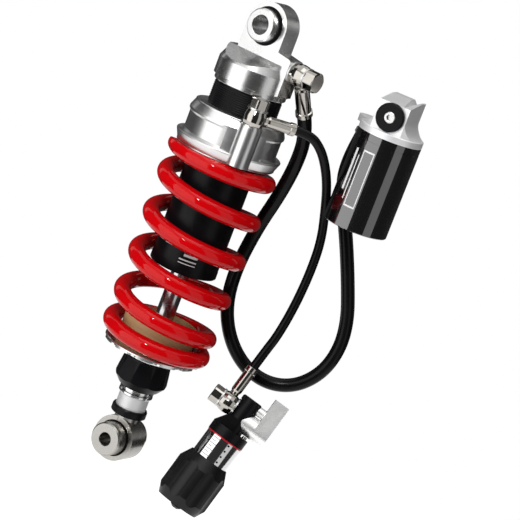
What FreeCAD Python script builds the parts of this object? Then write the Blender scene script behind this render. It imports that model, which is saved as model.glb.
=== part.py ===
import FreeCAD, Part
import math
import os
import re
import Sketcher

# Rear shock absorber of a motorcycle: a coil-over damper with a remote reservoir and a
# remote hydraulic preload adjuster. Millimetres, +Z up along the damper, origin at the
# centre of the upper eye, Y along the upper bolt.

doc = FreeCAD.newDocument("RearShock")
Vector = FreeCAD.Vector
Rotation = FreeCAD.Rotation
Placement = FreeCAD.Placement

# ---------------------------------------------------------------- driving dimensions
SIZES = {
    # whole shock
    "rod_rest_turn": 7, "rail_turn": 33.3,
    "fit_gap": 0.05, "body_gap": 0.3, "edge_break": 0.5, "tilt_gap": 0.7,
    # upper eye and its bearing
    "upper_eye_radius": 17.5, "upper_eye_width": 16, "upper_race_radius": 14,
    "upper_race_width": 9, "upper_ball_radius": 11.8, "upper_ball_width": 11.4,
    "upper_neck_radius": 8.8, "upper_bolt_radius": 7, "upper_spacer_radius": 11.9,
    "upper_reach": 15.5,
    # lower eye and its bearing
    "lower_eye_radius": 17, "lower_eye_width": 17.5, "lower_race_radius": 13.6,
    "lower_race_width": 10, "lower_ball_radius": 11.4, "lower_ball_width": 12.4,
    "lower_neck_radius": 7.4, "lower_bolt_radius": 5, "lower_spacer_radius": 12.4,
    "lower_reach": 19.5,
    # shared bearing hardware
    "circlip_thickness": 0.9, "circlip_depth": 2.2, "seal_thickness": 1.3,
    # head
    "head_wall": 3.5, "head_crown_drop": 21, "head_floor_drop": 25, "head_slope_drop": 29.2,
    "head_shoulder_inset": 2.7, "head_cone_height": 5.5, "head_body_height": 12.3,
    "head_ring_height": 3.9, "head_ring_inset": 1.7, "right_shoulder_drop": 14.8,
    "neck_drop_right": 13.3, "left_shoulder_drop": 26, "neck_drop_left": 21.4,
    "head_facet_proud": 1.5, "head_facet_drop": 41.5, "head_port_drop": 22.5,
    "head_oil_radius": 2.5, "socket_depth": 10, "socket_wall_gap": 0.05,
    # damper tube
    "tube_radius": 25, "tube_wall": 3.5, "tube_end_drop": 180, "end_cap_height": 5,
    "end_cap_proud": 0.2, "end_cap_lip_radius": 12, "seal_head_height": 18, "seal_height": 4,
    "seal_width": 3.5,
    # rod and piston
    "rod_radius": 7, "rod_tip_radius": 5, "rod_tip_length": 26, "piston_height": 12,
    "piston_gap": 0.7, "piston_ports": 6, "piston_port_radius": 2.5, "band_depth": 1.2,
    "band_height": 6, "piston_droop": 6,
    "shim_thickness": 0.4, "shim_count": 5, "shim_radius": 17, "shim_step": 1.8,
    "nut_flats": 17, "nut_height": 7, "needle_radius": 1.5, "needle_bore_radius": 1.6,
    # preload cylinder
    "collar_drop": 64.5, "collar_rim_wall": 0.8, "collar_rim_height": 1.2,
    "collar_cone_height": 5.4, "collar_lip_wall": 3.2, "collar_lip_height": 1.6,
    "collar_waist_wall": 2, "collar_flange_drop": 88.6, "collar_flange_wall": 6.7,
    "collar_foot_wall": 4.3, "collar_foot_drop": 95.4, "collar_wall": 2.2,
    "cavity_width": 5.4, "cavity_drop": 72, "column_radius": 8.3, "cheek_half": 15,
    "column_offset": 11.5, "column_turn": -38.3, "column_drop": 66, "column_oil_radius": 1.5,
    # annular preload piston
    "preload_piston_height": 13, "preload_flange_height": 1.2, "preload_seal_height": 2.4,
    "preload_seal_depth": 1.6,
    # spring
    "wire_radius": 6.25, "coil_offset": 10.75, "coil_close_pitch": 13,
    "coil_close_top": 0.463, "coil_close_bottom": 1.037, "coil_top_drop": 97,
    "coil_ground": 3.25, "coil_active_turns": 4.1, "coil_start_turn": -135,
    # lower spring seat
    "coil_length": 151.5, "seat_rim_proud": 0.45, "seat_rim_height": 2.8, "seat_step_radius": 23,
    "seat_step_height": 4.2, "seat_hub_radius": 16, "seat_hub_height": 2.8, "seat_notch_radius": 4.2,
    "seat_notch_count": 12, "guide_wall": 2.2, "guide_height": 20.7,
    "bump_radius": 15, "bump_waist_radius": 12.5, "bump_height": 17, "bump_fold": 4,
    # rebound knob
    "knob_facets": 9, "rebound_top_radius": 17.8, "rebound_radius": 20.2,
    "rebound_height": 21.5, "rebound_foot_radius": 15.2, "rebound_belly_drop": 15,
    "rebound_facet_inset": 0.7, "knob_top_gap": 0.4,
    # rod end
    "shank_radius": 9, "ring_radius": 12.9, "ring_height": 3.3, "ring_groove": 0.9,
    "sleeve_radius": 11.4, "sleeve_height": 15.2, "saddle_radius": 13.3, "saddle_height": 5.6,
    "saddle_lap": 5.2, "eye_drop": 19.6,
    # banjo unions of the reservoir hose (10) and of the preload hose (8)
    "washer_height": 1.2, "union_ten_radius": 8.4, "union_ten_height": 11.6,
    "union_ten_bolt": 5, "union_ten_flats": 14, "union_ten_head": 8.2, "union_ten_length": 35,
    "union_ten_stem": 4.3, "union_ten_ferrule": 5.4, "union_ten_end": 6.2,
    "union_ten_turn": 38, "union_eight_radius": 8.2, "union_eight_height": 11.2,
    "union_eight_bolt": 4, "union_eight_flats": 13, "union_eight_head": 7,
    "union_eight_length": 31.2, "union_eight_stem": 3.3, "union_eight_ferrule": 4.1,
    "union_eight_end": 4.7, "union_eight_turn": 55.9, "union_face_inset": 1.3,
    "union_end_length": 4.5, "bolt_reach": 9,
    # hoses
    "reservoir_hose_radius": 5.15, "preload_hose_radius": 3.4, "head_run": 17, "port_run": 24,
    "collar_run": 13, "adjuster_run": 16,
    # reservoir
    "reservoir_distance": 105, "reservoir_top_drop": 42.8, "reservoir_length": 69.5,
    "reservoir_radius": 23.8, "reservoir_bore_radius": 21.2, "reservoir_turn": 18,
    "cap_flange_height": 4.8, "cap_spigot_height": 7, "cap_block_half": 11.6,
    "cap_face_reach": 20.4, "cap_height": 29.3, "cap_face_height": 25.7,
    "cap_back_reach": 18, "cap_scoop_radius": 11, "cap_ridge_place": 6.5, "cap_notch_place": 6.5,
    "cap_notch_depth": 4, "dial_height": 15.7,
    "dial_radius": 10.4, "dial_proud": 3.2, "dial_pocket_radius": 9, "dial_depth": 5,
    "dial_screw_radius": 4, "screw_proud": 0.8, "screw_socket_flats": 4, "screw_socket_depth": 2,
    "port_x": -23.5, "port_y": 21.5,
    "port_radius": 8.5, "port_lug_height": 5, "port_drop": 9.7, "port_tilt": 9,
    "reservoir_groove_drop": 4.5, "reservoir_groove_depth": 0.5,
    "reservoir_groove_height": 1.0,
    "end_plug_height": 8, "end_plug_inset": 2, "valve_radius": 4,
    "floating_height": 14, "floating_level": 48, "floating_ring_depth": 1.5,
    "floating_ring_height": 3, "floating_gap": 0.1,
    # remote preload adjuster, along its own axis
    "adjuster_distance": 73.2, "adjuster_drop": 294.3, "adjuster_tilt": 15.5,
    "adjuster_lean": 15, "housing_radius": 8.2, "housing_top": 35, "housing_foot_radius": 14.9,
    "housing_foot_height": 7.6, "housing_arm_top": 17, "housing_bore_radius": 10.05,
    "union_level": 22.6, "union_seat": 7.4, "red_ring_height": 1, "barrel_radius": 14.3,
    "barrel_length": 38, "barrel_end_height": 6, "barrel_wall_gap": 0.3, "plunger_radius": 10,
    "plunger_head_height": 9, "plunger_level": -21.5, "plunger_stem_radius": 5,
    "plunger_seal_height": 2.4, "plunger_seal_depth": 1.6, "grip_top": -19.3,
    "grip_length": 40.2, "grip_radius": 19.9, "grip_mouth_radius": 15.4, "grip_taper": 9,
    "grip_floor": 5.5, "grip_flutes": 8, "grip_flute_radius": 12, "grip_flute_depth": 1.5,
    "grip_foot_radius": 16.4, "grip_foot_height": 7.5, "grip_screw_radius": 4.4,
    "grip_screw_proud": 3, "grip_screw_shank": 2.4,
    # bracket of the adjuster
    "bracket_boss_radius": 8, "bracket_level": 18, "bracket_face": 13.2, "bracket_thickness": 11.8,
    "bracket_top": 45, "bracket_hole_radius": 3.3, "bracket_hole_level": 37,
    "bracket_post_radius": 3.6, "bracket_post_level": 30.6,
    "clamp_screw_radius": 1.9, "clamp_screw_height": 2, "clamp_screw_level": 11.2,
}

# ---------------------------------------------------------------- places worked out from them
PLACES = {
    "head_radius": "tube_radius + head_wall",
    "head_shoulder_radius": "head_radius - head_shoulder_inset",
    "head_facet_reach": "head_radius + head_facet_proud",
    "head_body_top": "-head_floor_drop - head_cone_height",
    "head_body_bottom": "head_body_top - head_body_height",
    "head_bottom": "head_body_bottom - head_ring_height",
    "head_ring_radius": "head_radius - head_ring_inset",
    "shoulder_reach": "sqrt(head_radius^2 - (upper_eye_width/2)^2)",
    "tube_bore_radius": "tube_radius - tube_wall",
    "end_cap_radius": "tube_radius + end_cap_proud",
    "tube_top": "head_bottom + socket_depth",
    "tube_bottom": "-tube_end_drop",
    "end_cap_bottom": "tube_bottom - end_cap_height",
    "seal_head_top": "tube_bottom + seal_head_height",
    "collar_top": "-collar_drop",
    "collar_cone_top": "collar_top - collar_rim_height",
    "collar_lip_top": "collar_cone_top - collar_cone_height",
    "collar_lip_bottom": "collar_lip_top - collar_lip_height",
    "collar_flange_top": "-collar_flange_drop",
    "collar_foot": "-collar_foot_drop",
    "cavity_inner_radius": "tube_radius + collar_wall",
    "cavity_outer_radius": "cavity_inner_radius + cavity_width",
    "collar_rim_radius": "cavity_outer_radius + collar_rim_wall",
    "collar_lip_radius": "cavity_outer_radius + collar_lip_wall",
    "collar_waist_radius": "cavity_outer_radius + collar_waist_wall",
    "collar_flange_radius": "cavity_outer_radius + collar_flange_wall",
    "collar_foot_radius": "cavity_outer_radius + collar_foot_wall",
    "cavity_top": "-cavity_drop",
    "coil_top": "-coil_top_drop",
    "coil_bottom": "coil_top - coil_length",
    "coil_radius": "tube_radius + coil_offset",
    "coil_close_turns": "coil_close_bottom + coil_close_top",
    "coil_wire_rise": "coil_length - 2*wire_radius + 2*coil_ground",
    "coil_pitch": "(coil_wire_rise - coil_close_turns*coil_close_pitch)/coil_active_turns",
    "seat_rim_radius": "coil_radius + seat_rim_proud",
    "preload_flange_top": "coil_top + preload_flange_height",
    "preload_piston_top": "preload_flange_top + preload_piston_height",
    "seat_rim_bottom": "coil_bottom - seat_rim_height",
    "seat_step_bottom": "seat_rim_bottom - seat_step_height",
    "seat_bottom": "seat_step_bottom - seat_hub_height",
    "guide_top": "coil_bottom + guide_height",
    "bump_top": "coil_bottom + bump_height",
    "rebound_top": "seat_bottom - knob_top_gap",
    "rebound_bottom": "rebound_top - rebound_height",
    "rebound_belly": "rebound_top - rebound_belly_drop",
    "shank_top": "rebound_top",
    "rings_top": "rebound_bottom - knob_top_gap",
    "rings_bottom": "rings_top - 2*ring_height",
    "sleeve_bottom": "rings_bottom - sleeve_height",
    "saddle_top": "sleeve_bottom + saddle_lap",
    "saddle_bottom": "saddle_top - saddle_height",
    "lower_eye_level": "sleeve_bottom - eye_drop",
    "rod_foot": "rings_bottom",
    "piston_bottom": "seal_head_top + piston_droop",
    "rod_shoulder": "piston_bottom",
    "piston_top": "piston_bottom + piston_height",
    "shims_height": "shim_count*shim_thickness",
    "shims_top": "piston_top + shims_height",
    "rod_top": "rod_shoulder + rod_tip_length",
    "column_distance": "tube_radius + column_offset",
    "column_x": "column_distance*cos(column_turn*1deg)",
    "column_y": "column_distance*sin(column_turn*1deg)",
    "column_height": "collar_foot_drop - column_drop",
    "reservoir_x": "reservoir_distance*cos(rail_turn*1deg)",
    "reservoir_y": "reservoir_distance*sin(rail_turn*1deg)",
    "adjuster_x": "adjuster_distance*cos(rail_turn*1deg)",
    "adjuster_y": "adjuster_distance*sin(rail_turn*1deg)",
    "bracket_width": "2*bracket_boss_radius",
    "grip_bottom": "grip_top - grip_length",
    "grip_floor_level": "grip_bottom + grip_floor",
    "barrel_bottom": "-barrel_length",
    "plunger_top": "plunger_level + plunger_head_height",
}

# ---------------------------------------------------------------- hose routes
# Corners of each hose between its first and last straight run, from the damper outwards.
RESERVOIR_ROUTE = [
    (33, 41, -84.5), (26, 46, -112), (16, 48, -145), (11.6, 47.4, -180), (14, 49, -208),
    (23.7, 55, -231), (38.3, 64.6, -247), (55.4, 75.9, -253), (72, 87, -247.5),
    (84.7, 95, -231), (89.7, 98.4, -209), (88.2, 96.4, -186), (81, 90.5, -161),
    (70.4, 83.4, -131), (58.4, 74.6, -100.5),
]
PRELOAD_ROUTE = [
    (58, 25, -67), (60.4, 34.6, -78), (60.6, 45.2, -91.5), (59.2, 56.2, -108),
    (62.7, 62.7, -134), (63.1, 63.6, -160), (61.7, 62.7, -187), (58.8, 60.2, -212),
]
# Part of the shorter run that each rounded corner takes up.
CORNER_SHARE = 0.45


def prefixed(text, own=()):
    """Text with the sheet's name put before every cell name; names in own stay bare."""
    def full(match):
        word = match.group(0)
        if word in own:
            return word
        if word in SIZES:
            return "Sizes." + word
        return "Places." + word if word in PLACES else word
    return re.sub(r"[A-Za-z_]\w*", full, text)


def fill_sheet(name, cells):
    """One row for each cell: its name beside its content, which takes the name as alias."""
    sheet = doc.addObject("Spreadsheet::Sheet", name)
    for row, (alias, content) in enumerate(cells.items(), start=1):
        sheet.set(f"A{row}", alias)
        sheet.set(f"B{row}", content)
        sheet.setAlias(f"B{row}", alias)
    return sheet


sizes = fill_sheet("Sizes", {alias: str(number) for alias, number in SIZES.items()})
places = fill_sheet("Places", {alias: "=" + prefixed(text, own=PLACES)
                               for alias, text in PLACES.items()})
doc.recompute()


def cell(alias):
    """The number in the cell of that name."""
    return float((sizes if alias in SIZES else places).get(alias))


def number(text):
    """What a sum of products of cell names and plain numbers comes to."""
    total = 0.0
    for sign, term in re.findall(r"([+-]?)\s*([^\s+-][^+-]*)", text):
        product = 1.0
        for operator, factor in re.findall(r"([*/]?)\s*([\w.]+)", term):
            amount = cell(factor) if factor[0].isalpha() else float(factor)
            product = product / amount if operator == "/" else product * amount
        total += -product if sign == "-" else product
    return total


def bind(item, **texts):
    """Bind properties to the sheets; Base_x and the like stand for the placement."""
    for key, text in texts.items():
        path = key.replace("Base_", "Placement.Base.")
        item.setExpression(path, prefixed(text))
    return item


# ---------------------------------------------------------------- building blocks
pieces = []


def keep(item, label, frame=None):
    """Name a finished sub-part and put it in its place."""
    item.Label = label
    if frame is not None:
        item.Placement = frame
    pieces.append(item)
    return item


def sketch_in(body, role):
    """A sketch on one of the body's own origin planes."""
    sketch = body.newObject("Sketcher::SketchObject", "Profile")
    plane = next(item for item in body.Origin.OriginFeatures if item.Role == role)
    sketch.AttachmentSupport = [(plane, "")]
    sketch.MapMode = "FlatFace"
    return sketch


def hold_point(sketch, line, texts):
    """Hold the start of a line at two coordinates given as texts."""
    for kind, axis, text in (("DistanceX", -2, texts[0]), ("DistanceY", -1, texts[1])):
        if text == "0":
            sketch.addConstraint(Sketcher.Constraint("PointOnObject", line, 1, axis))
            continue
        rule = Sketcher.Constraint(kind, -1, 1, line, 1, number(text))
        index = sketch.addConstraint(rule)
        sketch.setExpression(f"Constraints[{index}]", prefixed(text))


def draw(sketch, outline):
    """A closed outline of straight lines through corners given as pairs of texts."""
    corners = [Vector(number(across), number(up), 0) for across, up in outline]
    for start, end in zip(corners, corners[1:] + corners[:1]):
        sketch.addGeometry(Part.LineSegment(start, end), False)
    for line in range(len(corners)):
        following = (line + 1) % len(corners)
        sketch.addConstraint(Sketcher.Constraint("Coincident", line, 2, following, 1))
    for line, texts in enumerate(outline):
        hold_point(sketch, line, texts)


def turn(body, outline, kind="Revolution", axis="V_Axis"):
    """Add (or, as a Groove, remove) a full turn of an outline drawn in the XZ plane."""
    sketch = sketch_in(body, "XZ_Plane")
    draw(sketch, outline)
    feature = body.newObject("PartDesign::" + kind, "Turned")
    feature.Profile = sketch
    feature.ReferenceAxis = (sketch, [axis])
    feature.Angle = 360
    return feature


def turned(outline):
    """A body turned about Z from an outline of (radius, level) corners."""
    body = doc.addObject("PartDesign::Body", "Body")
    turn(body, outline)
    return body


def tube(inner, outer, low, high, break_text="0"):
    """A turned tube; its outer edges are broken where break_text says how much."""
    if break_text == "0":
        outline = [(inner, low), (outer, low), (outer, high), (inner, high)]
    else:
        outline = [(inner, low), (f"{outer} - {break_text}", low),
                   (outer, f"{low} + {break_text}"), (outer, f"{high} - {break_text}"),
                   (f"{outer} - {break_text}", high), (inner, high)]
    return turned(outline)


def slab(body, outline, width, plane="XZ_Plane"):
    """Add a plate of an outline, as thick as width, half to each side of the plane."""
    sketch = sketch_in(body, plane)
    draw(sketch, outline)
    feature = body.newObject("PartDesign::Pad", "Plate")
    feature.Profile = sketch
    bind(feature, Length=width)
    feature.SideType = "Symmetric"
    return feature


def cylinder(radius, height, low="0", at=("0", "0"), frame=None):
    """A Part cylinder along Z, or along the Z of a frame given in code."""
    item = doc.addObject("Part::Cylinder", "Cylinder")
    bind(item, Radius=radius, Height=height)
    if frame is None:
        bind(item, Base_x=at[0], Base_y=at[1], Base_z=low)
    else:
        item.Placement = frame
    return item


def sphere(radius):
    item = doc.addObject("Part::Sphere", "Sphere")
    return bind(item, Radius=radius)


def hexagon(flats, height, low="0"):
    """A hexagonal prism, as wide across its flats as flats says."""
    item = doc.addObject("Part::Prism", "Hexagon")
    item.Polygon = 6
    bind(item, Circumradius=f"{flats}/sqrt(3)", Height=height, Base_z=low)
    return item


def boolean(kind, base, tool):
    item = doc.addObject("Part::" + kind, kind)
    item.Base = base
    item.Tool = tool
    return item


def joined(items):
    item = doc.addObject("Part::MultiFuse", "Joined")
    item.Shapes = items
    return item


def grouped(items):
    """Separate solids that share one node."""
    item = doc.addObject("Part::Compound", "Group")
    item.Links = items
    return item


def shaped(shape):
    """A feature whose shape is worked out in code from the sheets."""
    item = doc.addObject("Part::Feature", "Shaped")
    item.Shape = shape
    return item


def along(origin, axis, across):
    """The frame at origin whose Z is axis and whose X is across."""
    return Placement(origin, Rotation(across, axis.cross(across), axis, "ZXY"))


X, Y, Z = Vector(1, 0, 0), Vector(0, 1, 0), Vector(0, 0, 1)
HERE = Placement()

# ---------------------------------------------------------------- frames of the groups
rod_turn = Rotation(Z, cell("rod_rest_turn"))
upper_frame = Placement(Vector(0, 0, 0), Rotation(X, -90))
rod_frame = Placement(Vector(0, 0, 0), rod_turn)
lower_frame = Placement(Vector(0, 0, cell("lower_eye_level")), rod_turn * Rotation(X, -90))

head_stem = Rotation(X, cell("union_ten_turn")).multVec(Vector(0, 0, -1))
head_union = along(Vector(cell("head_facet_reach"), 0, -cell("head_port_drop")), X, head_stem)

collar_stem = Rotation(Z, cell("union_eight_turn")).multVec(X)
collar_union = along(Vector(cell("column_x"), cell("column_y"), -cell("column_drop")),
                     Z, collar_stem)

reservoir_frame = Placement(
    Vector(cell("reservoir_x"), cell("reservoir_y"), -cell("reservoir_top_drop")),
    Rotation(Z, cell("reservoir_turn")))
dial_frame = reservoir_frame * Placement(
    Vector(0, -cell("cap_face_reach"), cell("dial_height")), Rotation(X, 90))
port_frame = Placement(
    reservoir_frame.multVec(Vector(cell("port_x"), cell("port_y"), 0)),
    Rotation(Z, cell("rail_turn")) * Rotation(Y, cell("port_tilt")))

adjuster_frame = Placement(
    Vector(cell("adjuster_x"), cell("adjuster_y"), -cell("adjuster_drop")),
    Rotation(Z, cell("rail_turn")) * Rotation(X, -cell("adjuster_lean"))
    * Rotation(Y, cell("adjuster_tilt")))
adjuster_union = adjuster_frame * along(
    Vector(-cell("union_seat"), 0, cell("union_level")), -X, Z)
bracket_frame = adjuster_frame * along(Vector(0, 0, cell("bracket_level")), X, Z)


# ---------------------------------------------------------------- eyes and their bearings
def eye_bearing(end, frame):
    """Race, ball, two spacers, two circlips and two seals, along the bolt's Z."""
    race_radius = f"{end}_race_radius"
    race_half = f"{end}_race_width/2"
    ball_half = f"{end}_ball_width/2"
    neck = f"{end}_neck_radius"
    bolt = f"{end}_bolt_radius"
    flange = f"{end}_spacer_radius"
    reach = f"{end}_reach"

    ring = cylinder(race_radius, f"{end}_race_width", f"-{race_half}")
    race = boolean("Cut", ring, sphere(f"{end}_ball_radius + fit_gap"))
    keep(race, f"{end}_bearing_race", frame)

    truncated = boolean("Common", sphere(f"{end}_ball_radius"),
                        cylinder(f"{end}_ball_radius", f"{end}_ball_width", f"-{ball_half}"))
    bore = cylinder(f"{neck} + fit_gap", f"{end}_ball_width", f"-{ball_half}")
    keep(boolean("Cut", truncated, bore), f"{end}_ball", frame)

    eye_half = f"{end}_eye_width/2"
    spacers = []
    circlips = []
    seals = []
    for side in (1, -1):
        flip = Placement(Vector(0, 0, 0), Rotation(X, 90 - 90 * side))
        spacer = turned([
            (bolt, "0"), (neck, "0"), (neck, f"{eye_half} + tilt_gap"),
            (flange, f"{eye_half} + tilt_gap"),
            (flange, f"{reach} - 2*edge_break"), (f"{flange} - 2*edge_break", reach),
            (f"{bolt} + edge_break/2", reach), (bolt, f"{reach} - edge_break/2")])
        spacer.Placement = flip
        spacers.append(spacer)
        clip = tube(f"{race_radius} - circlip_depth", race_radius, race_half,
                    f"{race_half} + circlip_thickness")
        clip.Placement = flip
        circlips.append(clip)
        seal = tube(f"{neck} + tilt_gap", race_radius, f"{ball_half} + tilt_gap",
                    f"{ball_half} + tilt_gap + seal_thickness")
        seal.Placement = flip
        seals.append(seal)
    keep(grouped(spacers), f"{end}_spacers", frame)
    keep(grouped(circlips), f"{end}_circlips", frame)
    keep(grouped(seals), f"{end}_seals", frame)


def milled_slope(side):
    """What is milled off the head beside the eye plate; side is the sign of its Y."""
    slope = doc.addObject("PartDesign::Body", "Slope")
    slab(slope, [
        (f"{side}upper_eye_width/2", "0"), (f"{side}upper_eye_width/2", "-head_crown_drop"),
        (f"{side}head_radius", "-head_slope_drop"), (f"{side}head_radius", "0")],
        "2*head_facet_reach", "YZ_Plane")
    return slope


def top_mount():
    """The aluminium head: milled eye plate, shoulders, round body and oil port."""
    body = doc.addObject("PartDesign::Body", "Head")
    turn(body, [
        ("0", "-head_crown_drop"), ("head_shoulder_radius", "-head_crown_drop"),
        ("head_shoulder_radius", "-head_floor_drop"), ("head_radius", "head_body_top"),
        ("head_radius", "head_body_bottom"), ("head_ring_radius", "head_body_bottom - edge_break"),
        ("head_ring_radius", "head_bottom + edge_break"),
        ("head_ring_radius - edge_break", "head_bottom"), ("0", "head_bottom")])
    slab(body, [
        ("-upper_eye_radius", "0"), ("-upper_eye_radius", "-neck_drop_left"),
        ("-shoulder_reach", "-left_shoulder_drop"), ("-shoulder_reach", "head_body_bottom"),
        ("head_ring_radius", "head_body_bottom"), ("head_facet_reach", "-head_facet_drop"),
        ("head_facet_reach", "-right_shoulder_drop - 2*edge_break"),
        ("head_facet_reach - 2*edge_break", "-right_shoulder_drop"),
        ("upper_eye_radius", "-neck_drop_right"), ("upper_eye_radius", "0")], "upper_eye_width")
    across = Placement(Vector(0, -cell("upper_eye_width") / 2, 0), Rotation(X, -90))
    round_end = cylinder("upper_eye_radius", "upper_eye_width", frame=across)
    bore = cylinder("upper_race_radius", "upper_eye_width", frame=across)
    socket = cylinder("tube_radius + socket_wall_gap", "socket_depth", "head_bottom")
    down = cylinder("head_oil_radius", "-head_port_drop - tube_top", "tube_top")
    sideways = Placement(Vector(0, 0, -cell("head_port_drop")), Rotation(Y, 90))
    port = cylinder("union_ten_bolt", "head_facet_reach", frame=sideways)
    bind(port, Base_x="head_facet_reach - bolt_reach", Height="bolt_reach")
    gallery = cylinder("head_oil_radius", "head_facet_reach", frame=sideways)
    slopes = [milled_slope(side) for side in ("-", "")]
    whole = boolean("Cut", joined([body, round_end]), joined(slopes))
    keep(boolean("Cut", whole, joined([bore, socket, down, port, gallery])), "top_mount", HERE)


# ---------------------------------------------------------------- banjo unions
def union_bolt(size):
    """Hollow bolt: shank through the fitting into the port, hexagon head with a chamfer."""
    seat = f"2*washer_height + {size}_height"
    shank = cylinder(f"{size}_bolt - fit_gap", f"{seat} + bolt_reach", "-bolt_reach")
    head = hexagon(f"{size}_flats", f"{size}_head", seat)
    crown = turned([
        ("0", seat), (f"{size}_flats/2 + edge_break", seat),
        (f"{size}_flats/2 + edge_break", f"{seat} + {size}_head - edge_break"),
        (f"{size}_flats/2 - edge_break", f"{seat} + {size}_head"),
        ("0", f"{seat} + {size}_head")])
    gallery = cylinder(f"{size}_bolt/2", f"{seat} + bolt_reach/2", "-bolt_reach")
    return boolean("Cut", joined([shank, boolean("Common", head, crown)]), gallery)


def union_washers(size):
    """One sealing washer on each side of the fitting."""
    pair = []
    for low in ("0", f"washer_height + {size}_height"):
        pair.append(tube(f"{size}_bolt", f"{size}_radius - union_face_inset/2", low,
                         f"{low} + washer_height"))
    return pair


def union_fitting(size):
    """Ball-shaped ring round the bolt, with a stem and ferrule along X."""
    radius = f"{size}_radius"
    low = "washer_height"
    high = f"washer_height + {size}_height"
    body = turned([
        (f"{size}_bolt", low), (f"{radius} - union_face_inset", low),
        (f"{radius} - union_face_inset/4", f"{low} + {size}_height/4"),
        (radius, f"{low} + {size}_height/2"),
        (f"{radius} - union_face_inset/4", f"{low} + 3*{size}_height/4"),
        (f"{radius} - union_face_inset", high), (f"{size}_bolt", high)])
    ring_bore = f"{size}_bolt + union_face_inset"
    stem = turned([
        (f"{size}_bolt/3", ring_bore), (f"{size}_stem", ring_bore),
        (f"{size}_stem", f"{radius} + union_face_inset"),
        (f"{size}_ferrule - edge_break", f"{radius} + union_face_inset"),
        (f"{size}_ferrule", f"{radius} + 2*union_face_inset"),
        (f"{size}_ferrule", f"{size}_length - union_end_length"),
        (f"{size}_end", f"{size}_length - union_end_length + edge_break"),
        (f"{size}_end", f"{size}_length - edge_break"),
        (f"{size}_end - edge_break", f"{size}_length"), (f"{size}_bolt/3", f"{size}_length")])
    middle = number(f"washer_height + {size}_height/2")
    stem.Placement = along(Vector(0, 0, middle), X, Y)
    return joined([body, stem])


def unions():
    """The head's union, and the two alike unions at the ends of the preload hose."""
    keep(union_bolt("union_ten"), "head_banjo_bolt", head_union)
    keep(grouped(union_washers("union_ten")), "head_banjo_washers", head_union)
    keep(union_fitting("union_ten"), "head_banjo_fitting", head_union)
    bolts = []
    washers = []
    fittings = []
    for frame in (collar_union, adjuster_union):
        bolt = union_bolt("union_eight")
        bolt.Placement = frame
        bolts.append(bolt)
        for washer in union_washers("union_eight"):
            washer.Placement = frame
            washers.append(washer)
        fitting = union_fitting("union_eight")
        fitting.Placement = frame
        fittings.append(fitting)
    keep(grouped(bolts), "preload_banjo_bolts")
    keep(grouped(washers), "preload_banjo_washers")
    keep(grouped(fittings), "preload_banjo_fittings")


def union_end(frame, size):
    """Where the hose leaves a union's ferrule, and the way it points there."""
    middle = number(f"washer_height + {size}_height/2")
    end = frame.multVec(Vector(cell(f"{size}_length"), 0, middle))
    return end, frame.Rotation.multVec(X)


# ---------------------------------------------------------------- hoses
def rounded_route(points, name):
    """Straight runs joined by tangent arcs, each as large as its two runs allow."""
    edges = []
    radii = []
    last = points[0]
    for before, corner, after in zip(points, points[1:], points[2:]):
        inward = (corner - before).normalize()
        outward = (after - corner).normalize()
        half_turn = inward.getAngle(outward) / 2
        trim = CORNER_SHARE * min((corner - before).Length, (after - corner).Length)
        radius = trim / math.tan(half_turn)
        start = corner - inward * trim
        end = corner + outward * trim
        bisector = (outward - inward).normalize()
        middle = corner + bisector * (radius / math.cos(half_turn) - radius)
        edges.append(Part.LineSegment(last, start).toShape())
        edges.append(Part.Arc(start, middle, end).toShape())
        radii.append(round(radius, 1))
        last = end
    edges.append(Part.LineSegment(last, points[-1]).toShape())
    print(name, "radii", radii)
    return Part.Wire(edges)


def hose(points, radius, name):
    """A round hose along the route, checked against its section times its length."""
    path = rounded_route(points, name)
    start = (points[1] - points[0]).normalize()
    section = Part.Wire([Part.Circle(points[0], start, radius).toShape()])
    solid = path.makePipeShell([section], True, False)
    ideal = math.pi * radius ** 2 * path.Length
    print(name, "length", round(path.Length, 1), "volume share", round(solid.Volume / ideal, 4))
    return shaped(solid)


def port_end():
    """Where the hose meets the reservoir's port fitting, and the way it points there."""
    return port_frame.multVec(Vector(0, 0, -cell("port_drop"))), port_frame.Rotation.multVec(Z)


def hoses():
    start, out = union_end(head_union, "union_ten")
    end, into = port_end()
    route = [start, start + out * cell("head_run")]
    route += [Vector(*point) for point in RESERVOIR_ROUTE]
    route += [end - into * cell("port_run"), end]
    keep(hose(route, cell("reservoir_hose_radius"), "reservoir_hose"), "reservoir_hose")

    start, out = union_end(collar_union, "union_eight")
    end, back = union_end(adjuster_union, "union_eight")
    route = [start, start + out * cell("collar_run")]
    route += [Vector(*point) for point in PRELOAD_ROUTE]
    route += [end + back * cell("adjuster_run"), end]
    keep(hose(route, cell("preload_hose_radius"), "preload_hose"), "preload_hose")


# ---------------------------------------------------------------- damper tube and its seals
def damper_tube():
    keep(tube("tube_bore_radius", "tube_radius", "tube_bottom", "tube_top"), "damper_tube", HERE)
    cap = turned([
        ("end_cap_lip_radius", "end_cap_bottom"), ("end_cap_radius - edge_break", "end_cap_bottom"),
        ("end_cap_radius", "end_cap_bottom + edge_break"), ("end_cap_radius", "tube_bottom"),
        ("end_cap_lip_radius", "tube_bottom")])
    keep(cap, "tube_end_cap", HERE)
    head = turned([
        ("rod_radius + fit_gap", "tube_bottom + seal_height"),
        ("rod_radius + seal_width", "tube_bottom + seal_height"),
        ("rod_radius + seal_width", "tube_bottom"), ("tube_bore_radius - fit_gap", "tube_bottom"),
        ("tube_bore_radius - fit_gap", "seal_head_top"), ("rod_radius + fit_gap", "seal_head_top")])
    keep(head, "seal_head", HERE)
    keep(tube("rod_radius + fit_gap", "rod_radius + seal_width", "tube_bottom",
              "tube_bottom + seal_height"), "rod_seal", HERE)


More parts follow.
